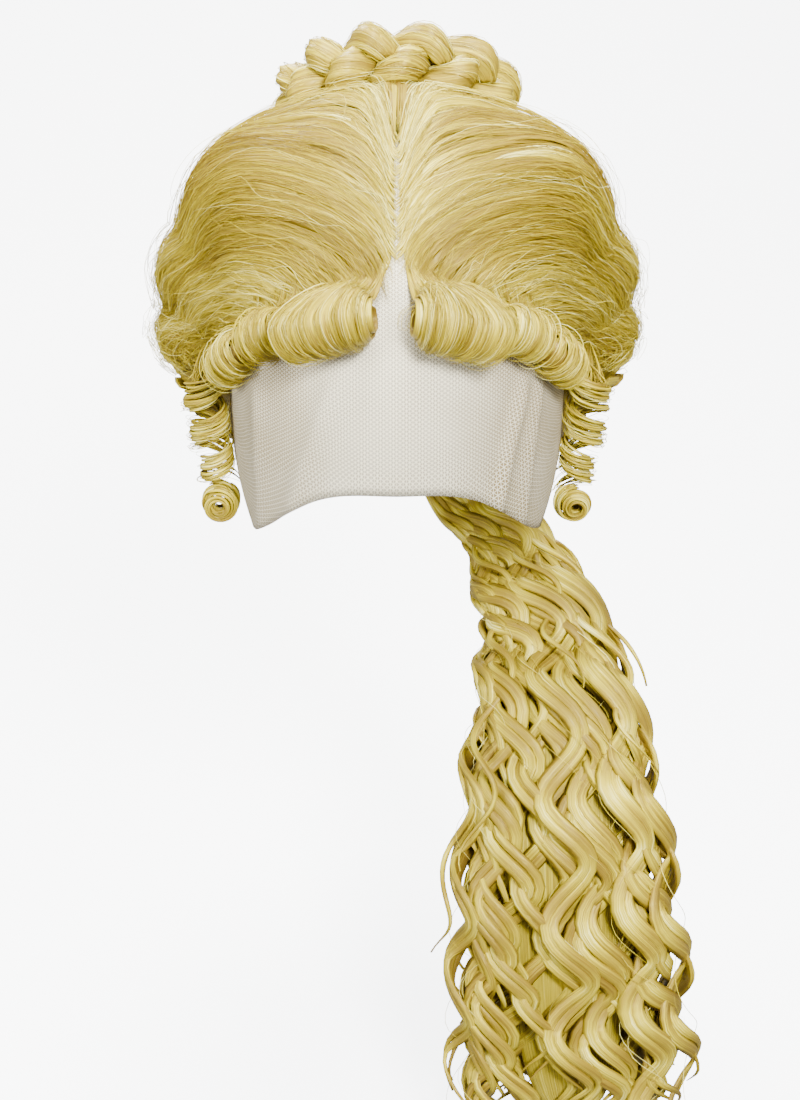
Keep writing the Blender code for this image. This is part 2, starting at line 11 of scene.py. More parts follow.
import bpy
import numpy as np
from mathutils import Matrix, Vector


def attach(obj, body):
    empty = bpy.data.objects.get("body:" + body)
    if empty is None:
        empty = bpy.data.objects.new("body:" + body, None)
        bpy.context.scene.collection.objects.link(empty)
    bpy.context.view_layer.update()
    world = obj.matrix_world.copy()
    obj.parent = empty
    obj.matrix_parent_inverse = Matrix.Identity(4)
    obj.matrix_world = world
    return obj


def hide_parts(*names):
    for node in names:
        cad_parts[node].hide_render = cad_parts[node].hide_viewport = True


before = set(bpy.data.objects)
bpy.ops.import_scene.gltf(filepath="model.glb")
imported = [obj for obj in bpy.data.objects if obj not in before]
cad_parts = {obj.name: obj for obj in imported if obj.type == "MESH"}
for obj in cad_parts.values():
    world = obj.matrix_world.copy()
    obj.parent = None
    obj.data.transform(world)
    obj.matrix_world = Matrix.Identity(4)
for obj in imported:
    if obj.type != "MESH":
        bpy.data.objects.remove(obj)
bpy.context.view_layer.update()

# %% [markdown]
# ## Camera
#
# A wig is photographed a little from above, from in front. The lens is long, so the shape is drawn almost
# without perspective. The camera comes first, because every later choice is judged through it.

# %% Put up the camera
LOOKS_DOWN = 27.38

lens = bpy.data.cameras.new("camera")
lens.lens, lens.sensor_width = 75.6, 36.0
camera = bpy.data.objects.new("camera", lens)
camera.location = (0.00143, -1.01256, 0.31980)
camera.rotation_euler = (math.radians(90.0 - LOOKS_DOWN), 0.0, 0.0)
bpy.context.scene.collection.objects.link(camera)
bpy.context.scene.camera = camera
print("camera looks down by", LOOKS_DOWN, "degrees")

# %% [markdown]
# ## Small tools for shapes
#
# Every piece is a surface on a grid of two numbers, or a set of paths, worked out as whole arrays. Short
# helpers do most of the drawing. Two of them draw random numbers, one for every path, as a column that is
# then added to all steps of its path. They come from a fixed seed, so each run gives the same hair.

# %% Helpers for random numbers, directions and curves
dice = np.random.default_rng(11)


def even(low, high, shape):
    """Even random numbers."""
    return dice.uniform(low, high, shape)


def each(low, high, count):
    """One even random number a path, as a column."""
    return even(low, high, count)[:, None]


def about(middle, spread, count):
    """One normal random number a path, as a column."""
    return dice.normal(middle, spread, count)[:, None]


def above(size, count):
    """One random number over 0 a path, seldom much over size, as a column."""
    return dice.exponential(size, count)[:, None]


def shares(steps):
    """Even steps from 0 to 1."""
    return np.linspace(0, 1, steps)


def between(start, stop, steps):
    """Even steps from start to stop, a row for each path."""
    return start[:, None] + (stop - start)[:, None] * shares(steps)


def unit(vectors):
    """Each vector divided by its own length."""
    return vectors / np.maximum(np.linalg.norm(vectors, axis=-1, keepdims=True), 1e-12)


def squared(vectors, along):
    """Unit vectors square to along: v less along (v . along)."""
    return unit(vectors - along * np.sum(vectors * along, -1, keepdims=True))


def wheel(angle, first, second):
    """first cos(a) + second sin(a)."""
    return first * np.cos(angle)[..., None] + second * np.sin(angle)[..., None]


def ease(share):
    """3 s squared less 2 s cubed, with s held between 0 and 1."""
    share = np.clip(share, 0, 1)
    return share * share * (3 - 2 * share)


def bell(distance, width):
    """e to the power of minus (d / w) squared."""
    return np.exp(-((distance / width) ** 2))


def columns_at(rows, at):
    """Every column of a table, read at shares from 0 to 1 of the way down it, in straight steps."""
    return np.stack([np.interp(at, shares(len(rows)), column) for column in rows.T], -1)


def curve_at(rows, at):
    """Catmull-Rom curve through the rows of a table, read at shares from 0 to 1 of the way down it."""
    rows = np.asarray(rows, float)
    padded = np.concatenate([2 * rows[:1] - rows[1:2], rows, 2 * rows[-1:] - rows[-2:-1]])
    place = np.clip(at, 0, 1) * (len(rows) - 1)
    start = np.minimum(place.astype(int), len(rows) - 2)
    t = (place - start).reshape(place.shape + (1,) * (rows.ndim - 1))
    a, b, c, d = (padded[start + k] for k in range(4))
    return 0.5 * (2 * b + (c - a) * t + (2 * a - 5 * b + 4 * c - d) * t**2 + (3 * b - a - 3 * c + d) * t**3)


print("curve through 0, 1, 0 at a quarter:", curve_at([[0], [1], [0]], np.array([0.25]))[0])

# %% [markdown]
# ## The head under the wig
#
# A wig cap follows a head, so every layer shares one pair of angles. *Turn* goes round the line from ear to
# ear: 0 is straight ahead, 90 is up, 180 is straight back. *Side* goes from the middle out to the ears. Two
# half ellipsoids that meet at the ear line make a good head.

# %% Sizes of the head, the cap and the hair
HEAD_HALF_WIDTH, HEAD_HALF_DEPTH, HEAD_RISE, HEAD_DROP = 0.0765, 0.0965, 0.1165, 0.165
CAP_WALL, LACE_WALL, GAP = 0.0015, 0.0010, 0.0004
LACE_INNER = CAP_WALL + GAP
LACE_OUTER = LACE_INNER + LACE_WALL
HAIR_INNER = LACE_OUTER + GAP
HAIRLINE_TURN, LACE_SEAM_TURN, PART_END_TURN, BACK_SEAM_TURN, NAPE_TURN = 41, 58, 95, 150, 214
EAR_SIDE, LACE_SIDE, PART_LACE_SIDE = 86, 80, 8
PART_SIDE = math.degrees(math.asin(0.0026 / HEAD_HALF_WIDTH))
EAR_LINE = np.array([0, 0, -HEAD_RISE])


def ear_centred(turn, side, half_width, half_depth, rise, drop, set_back=0):
    """Point and outward direction of the ellipsoid x = w sin(s), y = -d cos(s) cos(t), z = h cos(s) sin(t)."""
    turn, side = np.broadcast_arrays(np.radians(turn), np.radians(side))
    height = np.where(np.sin(turn) < 0, drop, rise)
    x = half_width * np.sin(side)
    y = -half_depth * np.cos(side) * np.cos(turn)
    z = height * np.cos(side) * np.sin(turn)
    outward = unit(np.stack([x / half_width**2, y / half_depth**2, z / height**2], -1))
    return np.stack([x, y + set_back, z - HEAD_RISE], -1), outward


def head(turn, side, offset=0):
    """The head's surface, moved out along its own normal by offset."""
    point, outward = ear_centred(turn, side, HEAD_HALF_WIDTH, HEAD_HALF_DEPTH, HEAD_RISE, HEAD_DROP)
    return point + outward * offset, outward


print("top of the cap", head(90, 0, CAP_WALL)[0].round(4))

# %% [markdown]
# ## The dressed hair's surface
#
# Combed hair stands off the head in a fuller, squarer form. It is thin along the hairline, dips at the
# parting, tucks in before the ears, swells into soft puffs over the sides and is pressed flat under the bun.
# One function gives that surface, and every lock is then laid along it.

# %% Surface of the combed hair
BUN_TILT = math.radians(45)
BUN_AXIS = np.array([0, math.sin(BUN_TILT), math.cos(BUN_TILT)])
BUN_FRONT = np.array([0, -math.cos(BUN_TILT), math.sin(BUN_TILT)])
RIGHT, FORWARD, DOWN = np.array([(1.0, 0.0, 0.0), (0.0, -1.0, 0.0), (0.0, 0.0, -1.0)])
BRAID_RADIUS, BRAID_CYCLES, BRAID_SWAY, BRAID_WEAVE = 0.0450, 4, 0.0088, 0.0066
STRAND_HALF_WIDTH, STRAND_HALF_DEPTH, BUN_SHOULDER = 0.0090, 0.0086, 0.030
BRAID_HALF_HEIGHT = BRAID_SWAY + STRAND_HALF_WIDTH * math.cos(math.pi / 8)
BRAID_HALF_DEPTH = BRAID_WEAVE + STRAND_HALF_DEPTH
SEAT_CENTRE = EAR_LINE + BUN_FRONT * 0.0310 + BUN_AXIS * 0.1130
BRAID_CENTRE = SEAT_CENTRE + BUN_AXIS * (BRAID_HALF_HEIGHT + GAP)
FULL_RISE, PART_RISE, SQUARE = 0.1290, 0.0050, 2.8
FULL_HAIR = (0.1095, 0.1170, FULL_RISE, 0.1700, 0.0050)  # half width, half depth, rise, drop, set back
PUFFS = ((22, 58, 0.0060), (58, 74, 0.0060), (74, 86, 0.0050))  # side from and to, height


def puff_height(turn, side):
    """Sum of half sine humps over the sides, which grow from the front to the ears."""
    height = 0
    for start, end, rise in PUFFS:
        height = height + rise * np.sin(math.pi * np.clip((np.abs(side) - start) / (end - start), 0, 1))
    return height * ease((turn - 46) / 46)


def pressed_by_bun(points):
    """Points pressed onto the plane under the bun, which fades out over its shoulder."""
    away = points - SEAT_CENTRE
    height = away @ BUN_AXIS
    radial = np.linalg.norm(away - height[..., None] * BUN_AXIS, axis=-1)
    above, below = BRAID_RADIUS + BRAID_HALF_DEPTH + BUN_SHOULDER * 0.25, BRAID_RADIUS + BRAID_HALF_DEPTH * 0.4
    weight = 1 - ease((radial - np.where(height > 0, above, below)) / BUN_SHOULDER)
    return points - (height * weight)[..., None] * BUN_AXIS


def hair(turn, side, inner=HAIR_INNER):
    """Squared ellipsoid of the full hair, mixed with hairline, ears, parting and nape, then puffed and pressed."""
    turn, side = np.broadcast_arrays(np.asarray(turn, float), np.asarray(side, float))
    sine, cosine = np.sin(np.radians(side)), np.cos(np.radians(side))
    full, _ = ear_centred(turn, side, *FULL_HAIR)
    full = EAR_LINE + (full - EAR_LINE) * ((np.abs(sine) ** SQUARE + cosine**SQUARE) ** (-1 / SQUARE))[..., None]
    painted_edge_shade, outward = head(turn, side, inner + 0.0040)
    nape, _ = head(turn, side, inner + 0.016)
    front = ease((turn - HAIRLINE_TURN) / (34 + 36 * sine**2))
    ear = np.sqrt(1 - 0.62 * np.clip((np.abs(side) - 77) / (EAR_SIDE - 77), 0, 1) ** 2)
    parted = ease((np.abs(side) - PART_SIDE) / 17)
    parting = 1 - (1 - parted) * (1 - PART_RISE / (FULL_RISE - HEAD_RISE))
    parting = parting + (1 - parting) * ease((turn - PART_END_TURN) / (BACK_SEAM_TURN - PART_END_TURN))
    to_nape = ease((turn - (NAPE_TURN - 44)) / 44)[..., None]
    full = full * (1 - to_nape) + nape * to_nape
    out = painted_edge_shade + (full - painted_edge_shade) * (front * ear * parting)[..., None]
    return pressed_by_bun(out + outward * (puff_height(turn, side) * ear)[..., None])


def part_gap(turn):
    """Half the parting's opening in degrees: 0.85, wider as a V at the hairline, closed behind the lace."""
    return (0.85 + 6.4 * (1 - ease((turn - 40) / 13))) * (1 - ease((turn - 87) / 6))


def to_lace(turn, side):
    """One on the parting and the hairline, where hair leaves the net, easing to 0 within a few degrees."""
    parting = (1 - ease((np.abs(side) - part_gap(turn)) / 9)) * (1 - ease((turn - 84) / 10))
    hairline = (1 - ease((turn - HAIRLINE_TURN) / 8)) * (1 - ease((np.abs(side) - 60) / 16))
    return np.maximum(parting, hairline)


def rooted(turn, side):
    """The combed surface, mixed with the lace's outer face by to_lace."""
    weight = to_lace(turn, side)[..., None]
    return hair(turn, side) * (1 - weight) + head(turn, side, LACE_OUTER + 0.0003)[0] * weight


def on_hair(turn, side, lift=0):
    """Point on the rooted hair, lifted, and its outward direction, square to the steps along turn and side."""
    step = 0.5
    by_turn = rooted(turn + step, side) - rooted(turn - step, side)
    by_side = rooted(turn, side + step) - rooted(turn, side - step)
    outward = unit(np.cross(by_side, by_turn))
    inwards = np.sum(outward * head(turn, side)[1], -1, keepdims=True) < 0
    outward = outward * np.where(inwards, -1, 1)
    return rooted(turn, side) + outward * np.asarray(lift)[..., None], outward


print("hair over the left ear", hair(90, 70).round(4))

# %% [markdown]
# ## From arrays to meshes
#
# A lock of hair is a closed tube: rings of points along a path, with a point at each end. All tubes of a
# piece go into one mesh, so thousands of hairs cost a single object. Each point carries two things for the
# material: a UV in millimetres, *u* along the hair and *v* across it, and a *tone* between 0 and 1 that says
# how light the lock is there. The tone holds the hair's own lighter and darker locks, and also painted shade
# and painted highlights.

# %% Mesh makers
def flat(values, kind=np.float32):
    """Any array as one row of the given kind, as a mesh takes it."""
    return np.ascontiguousarray(values, kind).ravel()


def new_piece(name, points, loops, sizes, finish, uv=None, tone=None):
    """One mesh object from flat arrays: points, the corner list, and how many corners each face has."""
    mesh = bpy.data.meshes.new(name)
    mesh.vertices.add(len(points))
    mesh.vertices.foreach_set("co", flat(points))
    mesh.loops.add(len(loops))
    mesh.loops.foreach_set("vertex_index", flat(loops, np.int32))
    mesh.polygons.add(len(sizes))
    mesh.polygons.foreach_set("loop_start", flat(np.cumsum(sizes) - sizes, np.int32))
    mesh.update(calc_edges=True)
    if uv is not None:
        mesh.uv_layers.new(name="hair").data.foreach_set("uv", flat(uv[loops]))
    if tone is not None:
        mesh.attributes.new("tone", "FLOAT", "POINT").data.foreach_set("value", flat(tone))
    mesh.polygons.foreach_set("use_smooth", np.ones(len(sizes), bool))
    mesh.materials.append(finish)
    piece = bpy.data.objects.new(name, mesh)
    bpy.context.scene.collection.objects.link(piece)
    return piece


def placed(piece, slot, node):
    """The piece rides on the one body and stands in for a node of the frame. Its slot is not used."""
    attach(piece, "root")
    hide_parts(node)
    return piece


def tube_faces(tubes, steps, around):
    """Corners and sizes of closed tubes: quads between rings, and a fan onto one point at each end."""
    ring = np.arange(around)
    after = (ring + 1) % around
    row = (np.arange(steps - 1) * around)[:, None]
    quads = np.stack([row + ring, row + after, row + around + after, row + around + ring], -1).reshape(-1)
    total, last = steps * around, (steps - 1) * around
    low = np.stack([np.full(around, total), after, ring], -1).reshape(-1)
    high = np.stack([np.full(around, total + 1), ring + last, after + last], -1).reshape(-1)
    sizes = np.concatenate([np.full(last, 4), np.full(2 * around, 3)])
    shift = np.arange(tubes)[:, None] * (total + 2)
    return (np.concatenate([quads, low, high]) + shift).reshape(-1), np.tile(sizes, tubes)


def capped(grid):
    """Values on the rings of every tube, with the mean of its first and of its last ring put after them."""
    ends = np.stack([grid[:, 0].mean(1), grid[:, -1].mean(1)], 1)
    rest = grid.shape[3:]
    return np.concatenate([grid.reshape(len(grid), -1, *rest), ends], 1).reshape(-1, *rest)


def tubes(rings, uv, tone):
    """Points, corners, sizes, UVs and tones of tubes, from arrays of tube, step and place round it."""
    loops, sizes = tube_faces(*rings.shape[:3])
    return capped(rings), loops, sizes, capped(uv), capped(tone)


def hair_piece(name, node, parts):
    """One object of several sets of tubes, put one after another, which stands in for a node."""
    before = np.cumsum([0] + [len(part[0]) for part in parts[:-1]])
    moved = [(part[0], part[1] + shift, *part[2:]) for part, shift in zip(parts, before)]
    points, loops, sizes, uvs, tones = (np.concatenate(column) for column in zip(*moved))
    print(name, int((sizes - 2).sum()), "triangles")
    placed(new_piece(name, points, loops, sizes, blonde, uvs, tones), "blonde_hair", node)


print("a tube of 5 rings of 6 has", int((tube_faces(1, 5, 6)[1] - 2).sum()), "triangles")

# %% [markdown]
# ## Locks and single hairs
#
# A lock is a flat bundle. Its section is wider than it is thick, flatter below than above, and it leans a
# little, so that neighbours overlap like shingles. A single hair is a three-sided tube, which is enough at
# a fifth of a millimetre. Both are laid along a path and the direction that points out of the hair there.

# %% Lock and hair makers
THREE_SIDES = np.array([math.pi / 2, math.pi * 7 / 6, math.pi * 11 / 6])


def travelled(path):
    """Distance along each path, from 0 at its first point."""
    steps = np.linalg.norm(np.diff(path, axis=-2), axis=-1)
    return np.concatenate([np.zeros(path.shape[:-2] + (1,)), np.cumsum(steps, -1)], -1)


def across_and_out(path, outward):
    """The two directions square to each path, with a place for the ring."""
    along = unit(np.gradient(path, axis=1))
    outward = squared(outward, along)
    return np.cross(outward, along)[:, :, None], outward[:, :, None]


def laid(path, rings, across_mm, tone):
    """Tubes with u along the path and v across it. Each has its own start in v, so no two have the same streaks."""
    shape = rings.shape[:3]
    start = even(0, 900, len(path))[:, None, None]
    u, v = np.broadcast_to(travelled(path)[:, :, None] * 1000, shape), start + np.broadcast_to(across_mm, shape)
    return tubes(rings, np.stack([u, v], -1), np.broadcast_to(tone, shape))


def locks(path, outward, half_width, height, light, around=6, lean=0, blunt=0.10, tip=0.25, painted_edge_shade=0.22):
    """Rings c + across w cos(a) + out h sin(a) along each path, narrowed to a point at both ends."""
    across, out = across_and_out(path, outward)
    half_width, share = np.asarray(half_width), shares(path.shape[1])
    taper = np.sqrt(np.clip(ease(share / blunt), 0.02, 1)) * np.sqrt(np.clip(ease((1 - share) / tip), 0.004, 1))
    angle = np.arange(around) * math.tau / around
    x, y = np.cos(angle), np.sin(angle)
    y = np.where(y < 0, y * 0.45, y)
    wide, tall = (half_width * taper)[..., None], (height * (0.35 + 0.65 * taper))[..., None]
    rings = path[:, :, None] + across * (wide * x)[..., None] + out * (tall * (y + lean * x))[..., None]
    light = np.broadcast_to(light, path.shape[:2])[..., None]
    # Painted shade: the tone darkens towards each lock's edges, and by 0.25 on its underside, where it dips under its
    # neighbours.
    tone = light - painted_edge_shade * np.abs(x) ** 3 - 0.25 * (np.sin(angle) < -0.1)
    return laid(path, rings, x * half_width[..., None] * 1000, tone)


def hairs(path, outward, radii, light):
    """Three-sided tubes that end in a point: radii are the least and most, light is an array or middle and spread."""
    share = shares(path.shape[1])
    radius = each(*radii, len(path))
    light = about(*light, len(path)) if isinstance(light, tuple) else light
    thin = radius * np.clip(np.minimum(share * 12, (1 - share) * 5), 0.15, 1)
    rings = path[:, :, None] + wheel(THREE_SIDES, *across_and_out(path, outward)) * thin[..., None, None]
    return laid(path, rings, 0, np.broadcast_to(light, path.shape[:2])[..., None])


def wander(count, steps, size, turns=1.5):
    """A slow sideways drift for each path: two sines with their own starts, size times at most."""
    start = even(0, math.tau, (2, count, 1))
    pace = even(0.5, 1, (2, count, 1)) * turns * math.tau
    one, two = (np.sin(much * pace[k] * shares(steps) + start[k]) for k, much in ((0, 1), (1, 1.7)))
    return size * (0.6 * one + 0.4 * two)


print("a drift of 1 stays within", float(np.abs(wander(200, 30, 1)).max().round(2)))

# %% [markdown]
# ## Shader maths in plain Python
#
# A material is a small sum written in nodes. Wrapping a socket in a class that knows plus, minus and times
# lets that sum be written as it is read, for example `0.4 + 0.2 * streak`. Any other node comes from one
# method, which takes its type, its settings and its inputs.

# %% Node helpers
class Field:
    """An output socket of a material, with Python's operators made into Math nodes."""

    def __init__(self, finish, socket):
        self.finish, self.socket = finish, socket

    def math(self, operation, *others):
        return self.finish.node("ShaderNodeMath", {"operation": operation}, dict(enumerate((self, *others))))

    def __add__(self, other):
        return self.math("ADD", other)

    def __sub__(self, other):
        return self.math("SUBTRACT", other)

    def __rsub__(self, other):
        return self.finish.node("ShaderNodeMath", {"operation": "SUBTRACT"}, {0: other, 1: self})

    def __mul__(self, other):
        return self.math("MULTIPLY", other)

    __radd__, __rmul__ = __add__, __mul__


class Finish:
    """One material: node() adds any node, paint() joins the results to its shader."""

    def __init__(self, name):
        self.material = bpy.data.materials.new(name)
        self.material.use_nodes = True
        self.tree = self.material.node_tree

    def join(self, node, values):
        for key, value in values.items():
            if isinstance(value, Field):
                self.tree.links.new(value.socket, node.inputs[key])
            else:
                node.inputs[key].default_value = value

    def node(self, kind, settings, values, out=0):
        made = self.tree.nodes.new(kind)
        for key, value in settings.items():
            setattr(made, key, value)
        self.join(made, values)
        return Field(self, made.outputs[out])

    def ramp(self, colours, shade):
        """Colours at even places of a ramp, read by a shade from 0 to 1."""
        field = self.node("ShaderNodeValToRGB", {}, {0: shade})
        elements = field.socket.node.color_ramp.elements
        while len(elements) < len(colours):
            elements.new(0.5)
        for element, place, colour in zip(elements, shares(len(colours)), colours):
            element.position, element.color = place, (*colour, 1)
        return field

    def noise(self, place, scale, detail):
        values = {"Vector": place, "Scale": scale, "Detail": detail}
        return self.node("ShaderNodeTexNoise", {"noise_dimensions": "2D"}, values)

    def map_range(self, value, *ends):
        """Value eased from its first two ends to the last two."""
        values = {0: value, **{k + 1: end for k, end in enumerate(ends)}}
        return self.node("ShaderNodeMapRange", {"interpolation_type": "SMOOTHSTEP"}, values)

    def place(self):
        return self.node("ShaderNodeUVMap", {"uv_map": "hair"}, {})

    def paint(self, **values):
        self.join(self.tree.nodes["Principled BSDF"], {key.replace("_", " "): values[key] for key in values})
        return self.material


print("shader helpers are ready")

# %% [markdown]
# ## Blonde hair
#
# Dyed blonde hair is never one colour. Some hairs are pale straw and some deep gold, painted shade darkens
# each lock where it dips under the next, and the gloss runs in bands across the hairs. Noise stretched along *u*
# gives the streaks, the tone of each lock shifts them, and the same noise as a bump splits the gloss into hairs.

# %% Finish for the hair
HAIR_COLOURS = (  # from deep gold to pale straw
    (0.125, 0.074, 0.007), (0.205, 0.131, 0.012), (0.315, 0.225, 0.014), (0.60, 0.485, 0.022), (1, 0.94, 0.32),
)


def hair_finish(name):
    """Streaks of noise, long in u and a few hairs wide in v, which shift each lock's tone on the ramp."""
    finish = Finish(name)
    place = finish.place()
    tone = finish.node("ShaderNodeAttribute", {"attribute_name": "tone"}, {}, out=2)
    broad, fine = (
        finish.noise(finish.node("ShaderNodeMapping", {}, {0: place, 3: (along, across, 1)}), 1, detail)
        for along, across, detail in ((0.009, 0.80, 2), (0.022, 2.6, 3))
    )
    height = fine + 0.4 * broad
    return finish.paint(
        Base_Color=finish.ramp(HAIR_COLOURS, tone + 0.60 * (broad - 0.5) + 0.80 * (fine - 0.5)),
        Roughness=0.30 + 0.20 * (1 - fine),
        Normal=finish.node("ShaderNodeBump", {}, {"Strength": 0.6, "Distance": 0.0007, "Height": height}),
        Specular_IOR_Level=0.85, Specular_Tint=(1, 0.82, 0.26, 1), Coat_Weight=0.06, Coat_Roughness=0.22,
    )


blonde = hair_finish("blonde_hair")
print("material", blonde.name)

# %% [markdown]
# ## Net and lace
#
# The cap is a stretch net, and the front is a finer lace that all but vanishes on skin. Both are net whose
# holes are partly let through by the Alpha socket and partly painted a darker colour, as painted shade of the
# hollow behind them. Three families of threads cross at a pitch of about a millimetre and a half, painted shade
# darkens the net towards the sides, and a little uneven bleaching keeps the lace from looking like plastic.

# %% Finish for the nets
def net_finish(name, light, shade_colour, pitch, hole, thread):
    """Thread mask: least of |sin| along three crossed directions; below thread it is cord, above it mostly hole."""
    finish = Finish(name)
    place = finish.place()
    u, v = (finish.node("ShaderNodeSeparateXYZ", {}, {0: place}, out=k) for k in (0, 1))
    wave = math.pi / pitch
    one, two, three = (
        line.math("SINE").math("ABSOLUTE")
        for line in ((u * 0.5 + v * 0.87) * wave, (u * 0.5 - v * 0.87) * wave, u * wave)
    )
    cord = finish.map_range(one.math("MINIMUM", two).math("MINIMUM", three), thread, thread + 0.24, 1, 0)
    patch = finish.noise(place, 0.05, 3)
    # Painted shade: the net darkens from the middle out towards the sides, and the holes take the darker colour for
    # the shaded hollow seen through them.
    outer = finish.map_range(u.math("ABSOLUTE"), 12, 70, 0.20, -0.22)
    mix = {0: cord * 0.72 + patch * 0.25 + outer, 6: (*shade_colour, 1), 7: (*light, 1)}
    return finish.paint(
        Base_Color=finish.node("ShaderNodeMix", {"data_type": "RGBA"}, mix, out=2),
        Roughness=0.62 + 0.15 * patch, Alpha=hole + (1 - hole) * cord,
        Normal=finish.node("ShaderNodeBump", {}, {"Strength": 0.7, "Distance": 0.0004, "Height": cord}),
        Specular_IOR_Level=0.25,
    )


# The second colour of each net is painted shade, for its holes and its sides.
lace_net = net_finish("lace_net", (1, 0.95, 0.74), (0.30, 0.225, 0.10), 1.50, 0.84, 0.16)
cap_net = net_finish("cap_net", (0.80, 0.71, 0.48), (0.50, 0.42, 0.26), 1.6, 0.80, 0.25)
print("materials", lace_net.name, cap_net.name)

# %% [markdown]
# ## Cap and lace front
#
# The cap is sewn from stretch net to the shape of a head. The lace front is a flat piece of finer net,
# stretched over the brow, with corners that hang before the ears and a narrow strip that runs back under the
# parting. Each is a thin closed shell: an outer grid, an inner grid and a rim, so it has a real thickness.

# %% Shell maker, cap and lace front
def grid_of(turns, sides, rows, columns):
    """Turn and side on a grid."""
    return np.meshgrid(np.linspace(*turns, rows), np.linspace(*sides, columns), indexing="ij")


def cell_corners(rows, columns):
    """The four corner numbers of every cell of a grid, in order round the cell."""
    corner = np.arange(rows * columns).reshape(rows, columns)
    return corner[:-1, :-1], corner[:-1, 1:], corner[1:, 1:], corner[1:, :-1]


def shell(outer, inner, keep=None):
    """Points and faces of two grids of the same cells: the outer one, the inner one turned over, and a rim."""
    keep = np.ones(np.subtract(outer.shape[:2], 1), bool) if keep is None else keep
    a, b, c, d = (corner[keep] for corner in cell_corners(*outer.shape[:2]))
    edges = np.concatenate([np.stack(pair, -1) for pair in ((a, b), (b, c), (c, d), (d, a))])
    total = outer.shape[0] * outer.shape[1]
    rim = edges[~np.isin(edges[:, 0] * total + edges[:, 1], edges[:, 1] * total + edges[:, 0])]
    quads = np.stack([a, b, c, d], -1)
    walls = np.stack([rim[:, 1], rim[:, 0], rim[:, 0] + total, rim[:, 1] + total], -1)
    faces = np.concatenate([quads, quads[:, ::-1] + total, walls])
    used = np.zeros(2 * total, bool)
    used[faces.ravel()] = True
    points = np.concatenate([outer.reshape(-1, 3), inner.reshape(-1, 3)])
    return points[used], (np.cumsum(used) - 1)[faces], used


def net_piece(names, turn, side, offsets, finish, keep=None, fold=0):
    """A shell on the head between two offsets, with u and v in millimetres on the head, and its area.

    Its names are those of the piece, the slot and the node. The area is the sum of the cells, each half the
    length of its diagonals' cross product."""
    normal = head(turn, side)[1] * np.asarray(fold)[..., None]
    inner, outer = (head(turn, side, offset)[0] + normal for offset in offsets)
    points, faces, used = shell(outer, inner, keep)
    u, v = np.radians(side) * 85, np.radians(turn) * 100 * np.cos(np.radians(side) * 0.75)
    uv = np.tile(np.stack([u.ravel(), v.ravel()], -1), (2, 1))[used]
    on_head = head(turn, side)[0]
    crossed = np.cross(on_head[1:, 1:] - on_head[:-1, :-1], on_head[1:, :-1] - on_head[:-1, 1:])
    cells = np.linalg.norm(crossed, axis=-1) / 2
    area = float(cells.sum() if keep is None else cells[keep].sum())
    print(names[0], 2 * len(faces), "triangles and", round(area, 4), "square metres")
    piece = new_piece(names[0], points, faces.ravel(), np.full(len(faces), 4), finish, uv)
    return placed(piece, *names[1:]), area


turn, side = grid_of((HAIRLINE_TURN, NAPE_TURN), (-EAR_SIDE, EAR_SIDE), 56, 60)
cap, cap_area = net_piece(("cap_net", "cap_net", "cap"), turn, side, (0, CAP_WALL), cap_net)
0.92 * cap_area

side_lines = np.unique(np.append(np.linspace(-LACE_SIDE, LACE_SIDE, 81), [-PART_LACE_SIDE, PART_LACE_SIDE]))
rows = np.concatenate([shares(24), 1 + shares(9)[1:], 2 + shares(20)[1:]])
lower_edge = -3.6 + (-38 + 3.6) * np.minimum(np.abs(side_lines) / 58, 1) ** 3
knots = np.stack([lower_edge] + [np.full_like(lower_edge, t) for t in (HAIRLINE_TURN, LACE_SEAM_TURN, PART_END_TURN)])
whole = np.minimum(rows.astype(int), 2)
lace_turn = knots[whole] + (knots[whole + 1] - knots[whole]) * (rows - whole)[:, None]
lace_side = np.repeat(side_lines[None], len(rows), 0)
middle = np.abs(side_lines[1:] + side_lines[:-1]) / 2 < PART_LACE_SIDE
lace_keep = (lace_turn[:-1, 1:] < LACE_SEAM_TURN - 1e-6) | middle
brow = ease((HAIRLINE_TURN - 14 - lace_turn) / 12)
slack = bell(lace_side - 38 - 0.35 * lace_turn, 2.4) + 0.8 * bell(lace_side - 49 - 0.20 * lace_turn, 2.2)
slack = slack + 0.7 * bell(lace_side + 30 - 0.5 * lace_turn, 3.6) + 0.5 * bell(lace_side + 52, 4)
folds = 0.0042 * brow * slack
names, walls = ("lace_front_net", "lace", "lace_front"), (LACE_INNER, LACE_OUTER)
lace, lace_area = net_piece(names, lace_turn, lace_side, walls, lace_net, lace_keep, folds)
0.97 * lace_area

# %% [markdown]
# ## Hair combed back from the parting
#
# On the real wig this hair is tied into the net along the parting and the hairline, combed up and back, and
# it bends down over the sides. Brushed hair lies in layers: a dense mass below, flat locks on it, and loose
# single hairs on top. The mass is one closed shell on the hair's surface, and the locks follow a small table
# of combing lines, so a change of the table re-combs the whole side.

